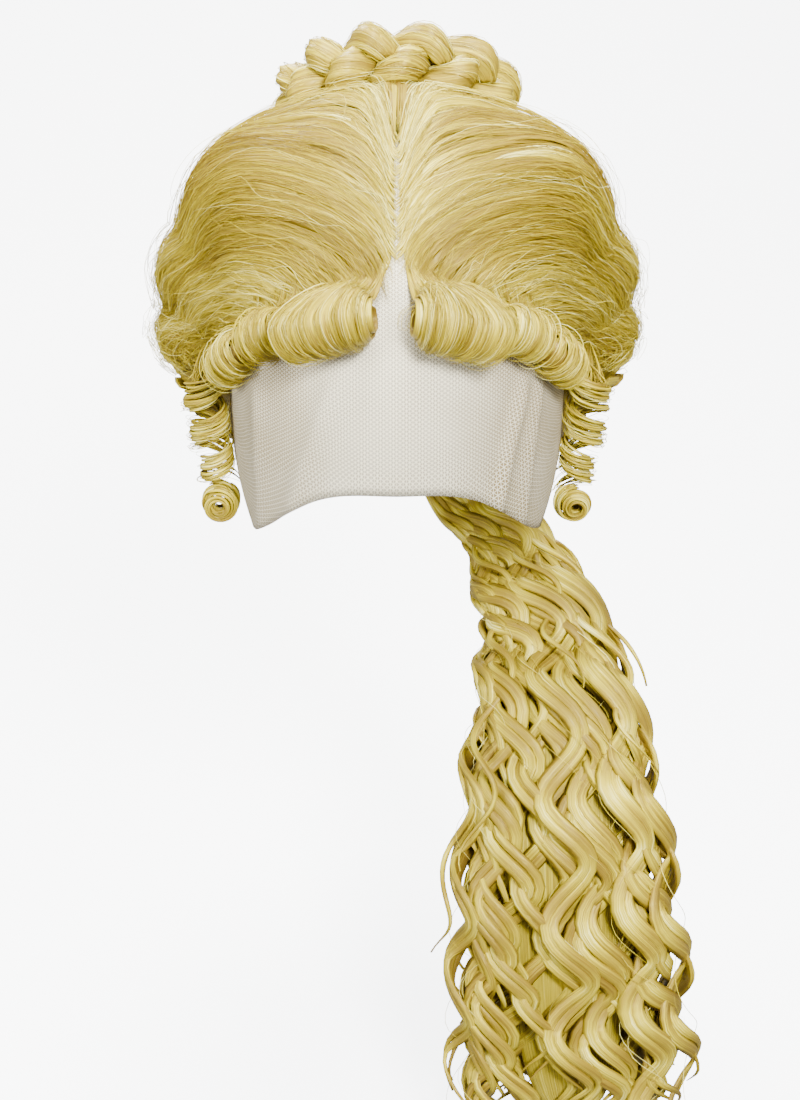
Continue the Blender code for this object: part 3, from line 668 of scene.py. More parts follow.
# %% Combing lines and the two sides
COMBING = np.array([  # side and turn along lines that start at: crown, parting, brow, temple
    [(0.3, 104), (5, 110), (12, 118), (21, 128), (29, 139), (32, 149.5)],
    [(0.5, 88), (9, 97), (23, 108), (37, 120), (47, 134), (49, 149.5)],
    [(0.5, 70), (11, 81), (32, 95), (50, 108), (60, 126), (60, 149.5)],
    [(0.5, 52), (11, 64), (36, 80), (58, 94), (68, 117), (68, 149.5)],
    [(3.0, 41.5), (13, 53), (38, 70), (62, 86), (73, 112), (73, 149.5)],
    [(21, 41.5), (31, 52), (52, 67), (70, 84), (78, 112), (77, 149.5)],
    [(42, 41.5), (52, 52), (67, 66), (77, 83), (81.5, 112), (81, 149.5)],
    [(62, 41.5), (70, 53), (78, 67), (82, 84), (84, 112), (84, 149)],
    [(77, 41.5), (80, 54), (83, 68), (85, 84), (85.6, 112), (85.6, 149)],
])
SWEPT_LAYERS = ((50, -0.0007, 0.0058, 0.0009), (58, 0.0001, 0.0034, 0.0008))  # locks, lift, half width, height
SWEPT_HAIRS, ROOT_TUFTS, FLYAWAYS, LOCK_STEPS = 640, 110, 150, 38
CROWN_LAYERS = ((30, 0.0024), (90, 0))  # strands and half width, or 0 for single hairs


def flow_at(across, along):
    """The combing table, read by two Catmull-Rom curves: first from line to line, then down each line."""
    lines = curve_at(COMBING, across)
    fine = np.moveaxis(curve_at(np.moveaxis(lines, 1, 0), shares(201)), 0, 1)
    place = np.clip(along, 0, 1) * 200
    low = np.minimum(place.astype(int), 199)
    part = (place - low)[..., None]
    pick = np.arange(len(fine))[:, None]
    return fine[pick, low] * (1 - part) + fine[pick, low + 1] * part


def mass_of_hair(turns, sides, light, steps, deep=0.0013):
    """The dense hair below the locks: the combed surface sunk by deep, and the head's side of it, and a rim."""
    turn, side = grid_of(turns, sides, *steps)
    part_side = np.where(side == 0, np.sign(np.sum(sides)), np.sign(side))
    side = side + part_side * part_gap(turn) * np.clip(1 - np.abs(side) / 14, 0, 1)
    outer, outward = on_hair(turn, side)
    inner, _ = head(turn, side, LACE_OUTER + 0.0002)
    room = np.linalg.norm(outer - inner, axis=-1)
    points, faces, used = shell(outer - outward * np.minimum(deep, room * 0.5)[..., None], inner)
    uv = np.tile(np.stack([turn.ravel() * 1.6, side.ravel() * 1.5], -1), (2, 1))[used]
    # Painted shade: the side towards the head is darker, at a tone of 0.25.
    tone = np.where(used.nonzero()[0] >= turn.size, 0.25, light)
    return points, faces.reshape(-1), np.full(len(faces), 4), uv, tone


def combed(across, start, end, steps, lift, drift, mirror, rooting=(0.85, 1.35)):
    """Paths on the combed surface from start to end of the lines, lifted off it, with a slow drift."""
    along = between(start, end, steps)
    flow = flow_at(across, along)
    count = len(across)
    loose = ease(along * 5)
    side = flow[..., 0] + wander(count, steps, drift) * loose
    turn = flow[..., 1] + wander(count, steps, drift * 0.8) * loose
    root = each(*rooting, count)
    least = part_gap(turn) * root - 2.6 * ease((turn - 86) / 6)
    side = np.clip(side + 1.5 * np.minimum(root, 0) * (1 - ease(along * 16)), least, 85.8) * mirror
    turn = turn - each(-1, 4.5, count) * (1 - ease(along * 9)) * ease((46 - turn) / 4)
    return on_hair(np.clip(turn, 37, 149.6), side, lift)


def zone(across, share):
    """Slow changes of tone from line to line and along them."""
    return 0.13 * np.sin(8.5 * across[:, None] + 2.4 * share + 0.8) + 0.07 * np.sin(21 * across[:, None] - 3 * share)


def part_highlight_weight(across):
    """Weight of the painted highlight near the roots: one for lines that start at the parting, and 0.3 for those from
    the hairline.
    """
    return 1 - 0.70 * ease((across[:, None] - 0.40) / 0.2)


def swept(side_name, mirror):
    """The dense mass, flat locks in two layers, single hairs, root tufts, the fan at the crown and flyaways."""
    sides = (0, 85.9) if mirror > 0 else (-85.9, 0)
    parts = [mass_of_hair((42.2, 149.7), sides, 0.40, (38, 46))]
    share = shares(LOCK_STEPS)
    for count, lift, wide, tall in SWEPT_LAYERS:
        across = (np.arange(count) + even(0, 1, count)) / count
        begin, stop = even(0, 0.05, count), even(0.90, 1, count)
        if lift > 0:
            begin = np.where(even(0, 1, count) < 0.35, even(0.1, 0.4, count), begin)
            stop = np.where(even(0, 1, count) < 0.25, even(0.55, 0.9, count), stop)
        raised = (lift + each(-0.0004, 0.0004, count) + wander(count, LOCK_STEPS, 0.0005)) * ease(share * 7)
        path, outward = combed(across, begin, stop, LOCK_STEPS, raised, 1.1, mirror)
        size = each(0.7, 1.3, count) * (0.35 + 0.65 * ease(share * 3))
        # Painted highlight: the tone is raised near the roots of lines from the parting, where light falls on the top
        # of the head.
        light = about(0.39, 0.06, count) + zone(across, share) + part_highlight_weight(across) * 0.42 * np.exp(-share / 0.13)
        light = light + part_highlight_weight(across) * 0.24 * bell(share, 0.38) + 0.10 * bell(share - 0.74, 0.10)
        lean = 0.05 * mirror
        parts.append(locks(path, outward, wide * size, tall * np.sqrt(size), light, 6, lean, 0.04, 0.12, 0.05))

    count = SWEPT_HAIRS
    across = even(0, 1, count)
    begin = np.where(even(0, 1, count) < 0.6, 0, even(0, 0.55, count))
    stop = np.minimum(begin + even(0.25, 1, count), 1)
    raised = 0.0012 + np.abs(wander(count, 16, 0.0009)) + above(0.0006, count)
    raised = raised * ease((begin[:, None] + shares(16)) * 5) + 0.0002
    path, outward = combed(across, begin, stop, 16, raised, 2, mirror, (-0.5, 1))
    along = between(begin, stop, 16)
    # Painted highlight near the roots of hairs from the parting, as on the locks.
    glow = about(0.52, 0.12, count) + zone(across, along) + part_highlight_weight(across) * 0.40 * np.exp(-along / 0.20)
    parts.append(hairs(path, outward, (0.00009, 0.00017), glow))

    count = ROOT_TUFTS
    across, raised = even(0.10, 0.43, count), 0.0004 + 0.0014 * shares(10)
    path, outward = combed(
        across, np.zeros(count), even(0.06, 0.13, count), 10, raised, 0.3, mirror, (-1.1, -0.1)
    )
    parts.append(locks(path, outward, 0.00034, 0.0003, about(0.80, 0.07, count), 4, blunt=0.5, tip=0.5))

    share = shares(14)
    for count, wide in CROWN_LAYERS:
        from_side = each(-2.5, 24, count)
        turn = 88 + 0.22 * from_side + each(-2, 3, count) + (32 - 0.25 * from_side) * share
        groove = each(0.006, 0.0095, count) * bell(from_side, 10)
        lift = 0.0006 + each(0, 0.0006, count) + groove * ease(share * 1.8) + 0.003 * share**2
        path, outward = on_hair(turn, mirror * from_side * (0.80 + 0.25 * share), lift)
        light = about(0.30 if wide else 0.44, 0.08, count) + 0.25 * np.exp(-share / 0.25)
        if wide:
            parts.append(locks(path, outward, wide, 0.0009, light, blunt=0.3, tip=0.1))
        else:
            parts.append(hairs(path, outward, (0.00012, 0.00020), light))

    count = FLYAWAYS
    some = even(0, 1, count) < 0.5
    begin = np.where(some, even(0.40, 0.75, count), even(0, 0.7, count))
    stop = np.minimum(begin + even(0.15, 0.45, count), 1)
    bulge = np.sin(np.linspace(0, math.pi, 18)) ** 0.8 * each(0.0015, 0.0080, count) + 0.0012
    path, outward = combed(even(0, 1, count), begin, stop, 18, bulge, 2.2, mirror)
    parts.append(hairs(path, outward, (0.00008, 0.00012), (0.72, 0.1)))
    hair_piece(f"hair_swept_{side_name}", f"swept_{side_name}", parts)


for side_name, mirror in (("left", 1), ("right", -1)):
    swept(side_name, mirror)

# %% [markdown]
# ## Hair at the back
#
# Behind the bun the hair is drawn down and across to the tie of the ponytail, which sits to one side of the
# nape. The locks start a little over the seam with the swept sides, to hide it, and run together at the tie.
# The lowest ones are drawn up from the nape.

# %% Back of the head
TIE_TURN, TIE_SIDE, BACK_SIDE, BACK_HAIRS = 205, 15, 84.5, 220
BACK_LAYERS = ((60, -0.0005, 0.0058), (56, 0.0004, 0.0040))  # locks, lift, half width


def gathered(side_from, turn_from, steps, lift, pull):
    """Paths from any place at the back to the tie: side and turn are mixed with the tie's by an eased share."""
    share = shares(steps)
    near = ease(share * 0.96) ** 1.15
    side = side_from[:, None] * (1 - near) + (TIE_SIDE + pull[:, None] * 13) * near
    turn = turn_from[:, None] + (TIE_TURN - turn_from[:, None] + 2 * pull[:, None]) * share**0.92
    side = side + wander(len(side_from), steps, 0.8)
    return on_hair(np.clip(turn, 137, 213), np.clip(side, -85.5, 85.5), lift)


def back_of_head():
    """The dense mass, locks from the seam and from the nape, and single hairs."""
    parts = [mass_of_hair((150.2, 213.8), (-85.9, 85.9), 0.36, (36, 90))]
    share = shares(30)
    for count, lift, wide in BACK_LAYERS:
        spread = np.linspace(-1, 1, count) + even(-0.6, 0.6, count) / count
        side_from = BACK_SIDE * np.sin(spread * math.pi / 2) * 0.35 + BACK_SIDE * spread * 0.65
        low = (even(0, 1, count) < 0.34) & (np.abs(side_from - TIE_SIDE) > 20)
        turn_from = np.where(low, even(165, 212, count), even(139, 148, count))
        raised = lift + 0.0012 * np.exp(-share / 0.12) + each(-0.0004, 0.0005, count) + wander(count, 30, 0.0004)
        path, outward = gathered(side_from, turn_from, 30, raised, spread)
        size = each(0.75, 1.25, count) * (1 - 0.50 * ease(share))
        light = about(0.50, 0.09, count) + 0.12 * np.sin(share * 6 + 0.5)
        parts.append(locks(path, outward, wide * size, 0.0015 * np.sqrt(size), light, 6, 0.15, 0.05, 0.10, 0.15))
    count = BACK_HAIRS
    spread = even(-1, 1, count)
    raised = 0.0014 + np.abs(wander(count, 14, 0.0008)) + above(0.0004, count)
    low = even(0, 1, count) < 0.25
    turn_from = np.where(low, even(160, 212, count), even(138, 149, count))
    path, outward = gathered(BACK_SIDE * spread, turn_from, 14, raised, spread)
    parts.append(hairs(path, outward, (0.00010, 0.00018), (0.64, 0.15)))
    hair_piece("hair_back", "back_hair", parts)


back_of_head()

# %% [markdown]
# ## The braid round the bun
#
# Three fat strands weave round a circle. In a flat braid each strand swings from side to side once a cycle,
# and rises and falls twice as often, a third of a cycle behind the next one. Where two strands meet they
# press each other flat, so each section is an oval cut back to the plane halfway to its neighbour.

# %% Braid strands
CORE_STEPS, CORE_AROUND, BRAID_HAIRS, BRAID_HAIR_STEPS = 200, 26, 140, 22


def braid_middle(around):
    """Middles of the three strands: out by weave sin(2 p), up by sway sin(p), p = 4 a + a third of a turn each."""
    phase = BRAID_CYCLES * np.asarray(around) + np.arange(3)[:, None] * math.tau / 3
    return np.stack([BRAID_WEAVE * np.sin(2 * phase), BRAID_SWAY * np.sin(phase)], -1)


def braid_reach(strand, around, angle):
    """Length of each ray from a strand's middle to its oval, cut at the planes halfway to the other two strands."""
    ray = np.stack([np.cos(angle), np.sin(angle)], -1)
    reach = 1 / np.hypot(ray[..., 0] / (STRAND_HALF_DEPTH * 1.04), ray[..., 1] / (STRAND_HALF_WIDTH * 1.04))
    middle = braid_middle(around)
    for other in ((strand + 1) % 3, (strand + 2) % 3):
        gap = middle[other] - middle[strand]
        towards, half = unit(gap), np.linalg.norm(gap, axis=-1) / 2
        facing = np.sum(ray * towards[:, None], -1)
        room = (half - 0.0003)[:, None] / np.maximum(facing, 1e-3)
        reach = np.where(facing > 1e-3, np.minimum(reach, room), reach)
    return reach


def on_braid(strand, around, angle, lift):
    """Points on a strand, for arrays of place round the bun and angle round the strand, moved out by lift."""
    middle = braid_middle(around)[strand]
    reach = braid_reach(strand, around, angle) + lift
    out = middle[:, None, 0] + reach * np.cos(angle)
    up = middle[:, None, 1] + reach * np.sin(angle)
    outward = wheel(around, RIGHT, BUN_FRONT)[:, None]
    return BRAID_CENTRE + outward * (BRAID_RADIUS + out)[..., None] + BUN_AXIS * up[..., None]


def braid_strand(strand):
    """A fluted core, whose flutes turn slowly round it, and fine hairs laid along the flutes."""
    steps, around = CORE_STEPS, CORE_AROUND
    place = np.linspace(0, math.tau, steps, endpoint=False)
    angle = np.tile(np.arange(around) * math.tau / around, (steps, 1))
    twist = 2.2 * place[:, None] + 0.5 * np.sin(3 * place[:, None] + strand)
    flute = 0.00055 * np.cos(7 * (angle - twist)) + 0.00035 * np.cos(13 * (angle - twist) + 1 + strand)
    rings = on_braid(strand, place, angle, flute - 0.0004)
    corner = np.arange(steps * around).reshape(steps, around)
    below, after = np.roll(corner, -1, 0), np.roll(corner, -1, 1)
    loops = np.stack([corner, below, np.roll(below, -1, 1), after], -1).reshape(-1)
    folded = np.abs((((angle - twist) / (math.tau) + strand * 0.31) % 1) * 2 - 1)
    uv = np.stack([np.broadcast_to(place[:, None] * 45, angle.shape), 18 * folded], -1)
    deep = braid_reach(strand, place, angle) / STRAND_HALF_WIDTH
    # Painted shade: the tone darkens where each strand is pressed flat against its neighbours, and in the grooves
    # between its flutes, whose crests are lighter.
    tone = 0.02 + 0.52 * ease((deep - 0.50) / 0.45) + 0.10 * np.cos(7 * (angle - twist))
    core = (rings.reshape(-1, 3), loops, np.full(steps * around, 4), uv.reshape(-1, 2), tone.reshape(-1))

    count, long = BRAID_HAIRS, BRAID_HAIR_STEPS
    place = each(0, math.tau, count) + shares(long) * each(0.7, 1.8, count)
    spin = each(0, math.tau, count) + 2.2 * place + wander(count, long, 0.25)
    lift = 0.0002 + np.abs(wander(count, long, 0.0005)) + above(0.0002, count)
    path, centre = (
        np.stack([on_braid(strand, place[:, k], spin[:, k, None], up[:, k, None])[:, 0] for k in range(long)], 1)
        for up in (lift, np.full_like(lift, -0.004))
    )
    fine = hairs(path, unit(path - centre), (0.00012, 0.00022), (0.72, 0.16))
    hair_piece(f"braid_strand_{strand + 1}_hair", f"braid_strand_{strand + 1}", [core, fine])


for strand in range(3):
    braid_strand(strand)

# %% [markdown]
# ## The knot inside the braid
#
# The hair that the braid encloses is wound into a low knot. A few locks that circle inwards and upwards over
# a dome show that, and their ends hide under one another.

# %% Bun knot
KNOT_RADIUS, KNOT_HEIGHT = BRAID_RADIUS - BRAID_HALF_DEPTH - GAP, 0.0232
KNOT_FOOT = SEAT_CENTRE + BUN_AXIS * GAP
KNOT_LAYERS = ((26, 34, 0.0030), (60, 26, 0))  # strands, steps and half width, or 0 for single hairs


def dome(rise, angle, lift):
    """A dome of radius r cos(a) and height h sin(a), both moved out by lift."""
    out = wheel(angle, RIGHT, BUN_FRONT) * ((KNOT_RADIUS + lift) * np.cos(rise))[..., None]
    return KNOT_FOOT + out + BUN_AXIS * ((KNOT_HEIGHT + lift) * np.sin(rise))[..., None]


def bun_knot():
    """The dome, a little sunk, and locks and hairs that spiral up it."""
    rise = np.linspace(0, math.pi / 2 * 0.985, 18)
    rise, angle = np.meshgrid(rise, np.linspace(0, math.tau, 40, endpoint=False), indexing="ij")
    uv = np.stack([np.degrees(angle), rise * 30], -1)
    # Painted shade: the sunk dome under the locks has a dark tone of 0.15.
    parts = [tubes(dome(rise, angle, -0.0016)[None, :, ::-1], uv[None], np.full((1, 18, 40), 0.15))]
    for count, long, wide in KNOT_LAYERS:
        share = shares(long)
        start = each(0, math.tau, count)
        climb = each(0, 0.75, count) + share * each(0.3, 0.9, count)
        spin = start + share * each(2, 3.6, count)
        lift = (-0.0010 if wide else 0.0004) + each(-0.0003, 0.0004, count)
        path = dome(np.minimum(climb, 1.5), spin, lift)
        light = about(0.48 if wide else 0.66, 0.14, count)
        outward = unit(path - KNOT_FOOT)
        if wide:
            parts.append(locks(path, outward, wide * each(0.8, 1.2, count), 0.0014, light))
        else:
            parts.append(hairs(path, outward, (0.0001, 0.0002), light))
    hair_piece("bun_knot_hair", "bun_knot", parts)


bun_knot()

# %% [markdown]
# ## Rolled curls on the hairline
#
# Each curl is hair that comes forward over the hairline and rolls under itself, away from the face. Seen from
# the end it is a spiral, whose radius shrinks by a few millimetres a turn. A lock is one slice of the roll:
# it leaves the combed hair, goes over the top and follows the spiral in.

# %% Curls
CURLS = {  # side from and to, radius from and to, how far below the hairline, lean
    "curl_brow_left": (5, 27, 0.0155, 0.0170, 0.85, 0),
    "curl_brow_right": (-6.5, -30, 0.0145, 0.0165, 0.85, 0),
    "curl_temple_left": (31, 44, 0.0120, 0.0115, 0.90, 0),
    "curl_temple_right": (-33.5, -46, 0.0120, 0.0110, 0.90, 0),
    "curl_side_left": (48, 63, 0.0120, 0.0105, 0.90, 2),
    "curl_side_right": (-50, -67, 0.0110, 0.0095, 0.90, 2),
}
CURL_PITCH, CURL_START, CURL_SWEEP, CURL_WALL = 0.0042, -90, 420, 0.0030
LOCK_SPACING, HAIRS_A_LOCK = 0.0027, 9


def roll(values, share):
    """Centre, radius, outward, down and axis of a roll at shares of its length."""
    side_from, side_to, radius_from, radius_to, below, lean = values
    fine = shares(41)
    side = side_from + (side_to - side_from) * fine
    radius = radius_from + (radius_to - radius_from) * fine
    root, _ = head(HAIRLINE_TURN, side)
    reach = np.linalg.norm(root[:, 1:] - EAR_LINE[1:], axis=1)
    drop = np.degrees((radius * below + 2 * GAP) / reach) + lean * fine
    foot, outward = head(HAIRLINE_TURN - drop, side, LACE_OUTER + GAP)
    axis = unit(np.gradient(foot, axis=0))
    outward = squared(outward, axis)
    down = np.cross(axis, outward)
    down = down * np.where(down[:, 2:] > 0, -1, 1)
    centre = foot + outward * (radius - CURL_PITCH * (180 - CURL_START) / 360)[:, None]
    found = columns_at(np.concatenate([centre, radius[:, None], outward, down, axis], 1), share)
    return found[..., :3], found[..., 3], unit(found[..., 4:7]), unit(found[..., 7:10]), unit(found[..., 10:13])


def rolled(values, share, steps, lift, end, reach):
    """Spirals that start at the top of the roll at share and, as they wrap, go out along it by reach and back."""
    side_from, side_to = values[:2]
    sweep = CURL_START - 14 + shares(steps) * (end[:, None] + 14)
    out = ease((sweep - CURL_START) / 95) * (1 - 0.55 * ease((sweep - 30) / 130))
    moving = share[:, None] + reach[:, None] * out
    kept = np.clip(moving, 0, 1)
    centre, radius, outward, down, axis = roll(values, kept)
    centre = centre + axis * ((moving - kept) * 0.03)[..., None] * np.sign(side_to - side_from)
    sweep = np.radians(sweep)
    spoke = wheel(sweep, outward, down)
    from_start, from_end = (1 - np.clip(gone, 0, 1) for gone in (kept / 0.20, (1 - kept) / 0.15))
    round_end = 1 - 0.58 * (1 - np.sqrt(1 - from_start**2)) - 0.30 * (1 - np.sqrt(1 - from_end**2))
    wound = radius * round_end - CURL_PITCH * np.maximum(np.degrees(sweep) - CURL_START, 0) / 360
    wound = wound - CURL_WALL * 0.5 + lift
    spiral = centre + spoke * np.maximum(wound, 0.0022)[..., None]
    side = side_from + (side_to - side_from) * share
    brow = float(abs(side_from) < 10)
    back = 2 + 2.5 * brow + (6 + 8 * brow) * ((share * 97.3) % 1)
    root, root_out = on_hair(HAIRLINE_TURN + back, (0.86 - 0.34 * brow) * side, -0.0005)
    top = spiral[:, 0]
    pull = np.linalg.norm(top - root, axis=-1)[:, None]
    near = root + (head(HAIRLINE_TURN, side)[0] - head(HAIRLINE_TURN + 7, side)[0]) * 0.4 + root_out * 0.0015
    control = top - outward[:, 0] * pull * 0.45
    u = np.linspace(0, 1, 8, endpoint=False)[None, :, None]
    entry = (1 - u) ** 3 * root[:, None] + 3 * (1 - u) ** 2 * u * near[:, None]
    entry = entry + 3 * (1 - u) * u**2 * control[:, None] + u**3 * top[:, None]
    entry_out = unit(root_out[:, None] * (1 - u) + spoke[:, :1] * u)
    return np.concatenate([entry, spiral], 1), np.concatenate([entry_out, spoke], 1)


def roll_mass(values, light):
    """The roll's inside: rings round its axis, a little under the locks, that shrink to a point at both ends."""
    share = shares(22)
    centre, radius, outward, down, _ = roll(values, share)
    small = np.sqrt(np.clip(1 - (2 * share - 1) ** 6, 0.01, 1))
    angle = np.linspace(0, math.tau, 28, endpoint=False)
    shrunk = (radius - 0.0034)[:, None] * small[:, None] * (1 - 0.10 * (angle + math.pi / 2) / (math.tau))
    rings = centre[:, None] + wheel(angle, outward[:, None], down[:, None]) * shrunk[..., None]
    if np.dot(np.cross(outward[11], down[11]), np.gradient(centre, axis=0)[11]) < 0:
        rings = rings[:, ::-1]
    uv = np.stack(np.broadcast_arrays(angle * 14, share[:, None] * 40), -1)
    return tubes(rings[None], uv[None], np.full((1, 22, 28), light))


def curl(name, values):
    """The roll's inside, slices of the roll as locks, and fine hairs along the same spiral."""
    ends = roll(values, np.array([0, 1]))[0]
    length = float(np.linalg.norm(ends[1:] - ends[:1]))
    brow = "brow" in name
    most = 0.55 if brow else 0.12
    count, steps = int(round(length / LOCK_SPACING)) + 3, 42
    share = (np.arange(count) + 0.5 + even(-0.3, 0.3, count)) / count
    start = share * (1 - most) if brow else share
    reach = share * most * even(0.85, 1.1, count) if brow else even(-most, most, count)
    end = CURL_SWEEP + even(-60, 25, count)
    lift = each(-0.0010, 0.0007, count) + wander(count, steps, 0.0006)
    path, outward = rolled(values, start, steps, lift, end, reach)
    wide = (length / count * 1.15) * each(0.75, 1.3, count)
    place = shares(path.shape[1])
    # Painted highlight on the front of each roll, about a third along the lock, and painted shade on its underside
    # past halfway.
    light = about(0.47, 0.08, count) + 0.28 * bell(place - 0.34, 0.09) - 0.10 * ease((place - 0.50) * 6)
    # Painted shade: the roll's inside has a dark tone of 0.16.
    parts = [roll_mass(values, 0.16), locks(path, outward, wide, 0.0009, light, 8, 0.12, 0.30, 0.16, 0.12)]

    fine, steps = count * HAIRS_A_LOCK, 19
    share = even(0, 1, fine)
    start = share * (1 - most) if brow else share
    reach = share * most * even(0.7, 1.25, fine) if brow else even(-most, most, fine) * 1.5
    stray = even(0, 1, fine) < (0.14 if brow else 0)
    reach = np.where(stray, -even(0, 0.30, fine), reach)
    lift = 0.0010 + above(0.0008, fine) + wander(fine, steps, 0.0007)
    path, outward = rolled(values, start, steps, lift, CURL_SWEEP * even(0.45, 0.9, fine), reach)
    parts.append(hairs(path, outward, (0.00009, 0.00017), (0.64, 0.12)))
    hair_piece(name + "_hair", name, parts)


for name, values in CURLS.items():
    curl(name, values)

# %% [markdown]
# ## Ringlets before the ears
#
# A ringlet is a flat lock wound round a stick and let go, so it hangs as an open coil, narrower at the bottom.
# Its path is a helix whose axis hangs straight down. Slim locks side by side make the flat band, and its end
# is rolled up into a small round coil that faces forward.

# %% Ringlets
COIL_RADIUS, COIL_NARROWS, COIL_TURNS, COIL_DROP = 0.0088, 0.15, 3.15, 0.058
BAND, END, JOINING, LOOSE = (18, 64), (17, 44), (70, 14), (56, 34)  # strands and steps


def coil(top, out, offset, lift, start, stop, shift, steps):
    """Helix of radius r (1 - 0.15 s) and 3.15 turns round a hanging axis, moved down it by offset."""
    share = between(start, stop, steps)
    radius = (COIL_RADIUS + lift) * (1 - COIL_NARROWS * share)
    axis = top + out * (0.0130 - 0.0090 * share**2)[..., None] + DOWN * (COIL_DROP * share - 0.002 + offset)[..., None]
    spoke = wheel(math.tau * COIL_TURNS * share + shift, -out, FORWARD)
    return axis + spoke * radius[..., None], spoke


def ringlet(name, mirror):
    """The band of slim locks, the round coil at its end, locks that join it to the side, and loose hairs."""
    top, out = head(22, mirror * 75.5, LACE_OUTER)[0], RIGHT * mirror
    count, steps = BAND
    offset = (np.linspace(-1, 1, count) * 0.0062)[:, None] + wander(count, steps, 0.0016)
    loose = each(-0.0024, 0.0014, count) + wander(count, steps, 0.0008)
    stop, shift = even(0.80, 0.96, count), each(-0.25, 0.25, count)
    path, outward = coil(top, out, offset, loose, np.zeros(count), stop, shift, steps)
    light = about(0.76, 0.09, count) + 0.12 * np.sin(shares(steps) * 40)
    parts = [locks(path, outward, 0.0007, 0.0007, light, 5, blunt=0.03, tip=0.08)]

    count, steps = END
    share = shares(steps)
    centre = top + out * 0.0075 + DOWN * 0.0600 + FORWARD * 0.0035
    size = np.linspace(0.0048, 0.0100, count)[:, None] * (1 - 0.62 * share) + wander(count, steps, 0.0004)
    spin = each(-0.7, 0.7, count) + math.pi / 2 - share * each(8, 12, count)
    spoke = wheel(spin, -out, -DOWN)
    deep = each(-0.0060, 0.0050, count) + 0.003 * share
    path = centre + spoke * size[..., None] + FORWARD * deep[..., None]
    light = about(0.72, 0.1, count) + 0.1 * np.sin(share * 15)
    parts.append(locks(path, spoke, 0.0012, 0.0009, light, blunt=0.05, tip=0.2))

    count, steps = JOINING
    share = shares(steps)[None, :, None]
    begin, begin_out = on_hair(even(42, 66, count), mirror * even(74, 85, count), 0.0002)
    end = top + out * 0.0130 + DOWN * each(-0.004, 0.008, count) + FORWARD * each(0.002, 0.008, count)
    end = end + out * each(-0.006, 0.008, count)
    bow = (begin + end) / 2 + begin_out * 0.0055 + FORWARD * 0.004
    path = (1 - share) ** 2 * begin[:, None] + 2 * (1 - share) * share * bow[:, None] + share**2 * end[:, None]
    light = about(0.58, 0.1, count)
    parts.append(locks(path, begin_out[:, None], 0.00045, 0.0004, light, 4, blunt=0.4, tip=0.5))

    count, steps = LOOSE
    start = even(0, 0.6, count)
    offset = each(-0.0075, 0.0075, count) + wander(count, steps, 0.0022)
    loose = 0.0010 + wander(count, steps, 0.0024)
    stop = np.minimum(start + even(0.25, 0.6, count), 1)
    path, outward = coil(top, out, offset, loose, start, stop, each(-0.3, 0.3, count), steps)
    parts.append(hairs(path, outward, (0.0001, 0.00018), (0.76, 0.12)))
    hair_piece(name + "_hair", name, parts)


for name, mirror in (("ringlet_left", 1), ("ringlet_right", -1)):
    ringlet(name, mirror)

# %% [markdown]
# ## The ponytail
#
# The ponytail leaves its tie at the nape, comes round the neck and hangs in front of the shoulder. Crimped
# curls make it look like many glossy ribbons that wave side to side. Neighbours wave almost in step, and
# every other one lies deeper. The path and its oval section come from a small table, and each ribbon keeps
# its place in the oval while it waves. The ponytail has a seed of its own, so that it keeps its ribbons when
# the pieces before it change.

# %% Ponytail
PONYTAIL_DROP, PONYTAIL_HALF_WIDTH, PONYTAIL_HALF_DEPTH = 0.355, 0.0580, 0.0200
PONYTAIL = np.array([  # across, forward, drop, width and depth, as shares
    (0, 0, 0, .40, .26), (.01, 0, .045, .36, .29), (.08, .03, .088, .33, .36), (.24, .17, .126, .32, .50),
    (.43, .44, .166, .36, .72), (.62, .90, .235, .52, .92), (.68, 1.42, .330, .72, 1.0), (.72, 1.78, .480, .86, 1.0),
    (.76, 1.94, .650, .96, 1.0), (.80, 2.03, .820, 1.0, .95), (.83, 2.07, .955, .80, .60),
])
WAVE, WAVE_ROLL = 0.0540, np.radians(20)
TABLE_STEPS, RIBBON_STEPS, PONYTAIL_HAIRS = 161, 140, 46
RIBBONS = (  # ribbons, least and greatest depth in the oval, locks in a ribbon, how far its end strays, tone
    (10, 0.52, 0.64, 1, 0, 0.56), (15, 0.68, 0.84, 2, 0, 0.56), (20, 0.85, 1.03, 2, 0, 0.54),
    (8, 0.98, 1.05, 1, 0.25, 0.58),
)


def ponytail_at(at):
    """Centre, half width, half depth, the two directions across, and the distance from the tie, at shares."""
    _, outward = head(203, TIE_SIDE)
    start = hair(203, TIE_SIDE, LACE_INNER) + outward * (PONYTAIL[0, 4] * PONYTAIL_HALF_DEPTH + 0.0009)
    rows = curve_at(PONYTAIL, shares(TABLE_STEPS))
    centre = start + rows[:, :3] * np.array([HEAD_HALF_WIDTH, -HEAD_HALF_DEPTH, -PONYTAIL_DROP])
    blend = ease(shares(TABLE_STEPS) * 3.2)[:, None]
    reference = unit(np.array([outward[1], -outward[0], 0])) * (1 - blend) + RIGHT * blend
    along = unit(np.gradient(centre, axis=0))
    first = squared(reference, along)
    ovals = rows[:, 3:] * (PONYTAIL_HALF_WIDTH, PONYTAIL_HALF_DEPTH)
    table = np.concatenate([centre, ovals, first, np.cross(along, first), travelled(centre)[:, None]], 1)
    found = columns_at(table, at)
    return found[..., :3], found[..., 3], found[..., 4], found[..., 5:8], found[..., 8:11], found[..., 11]


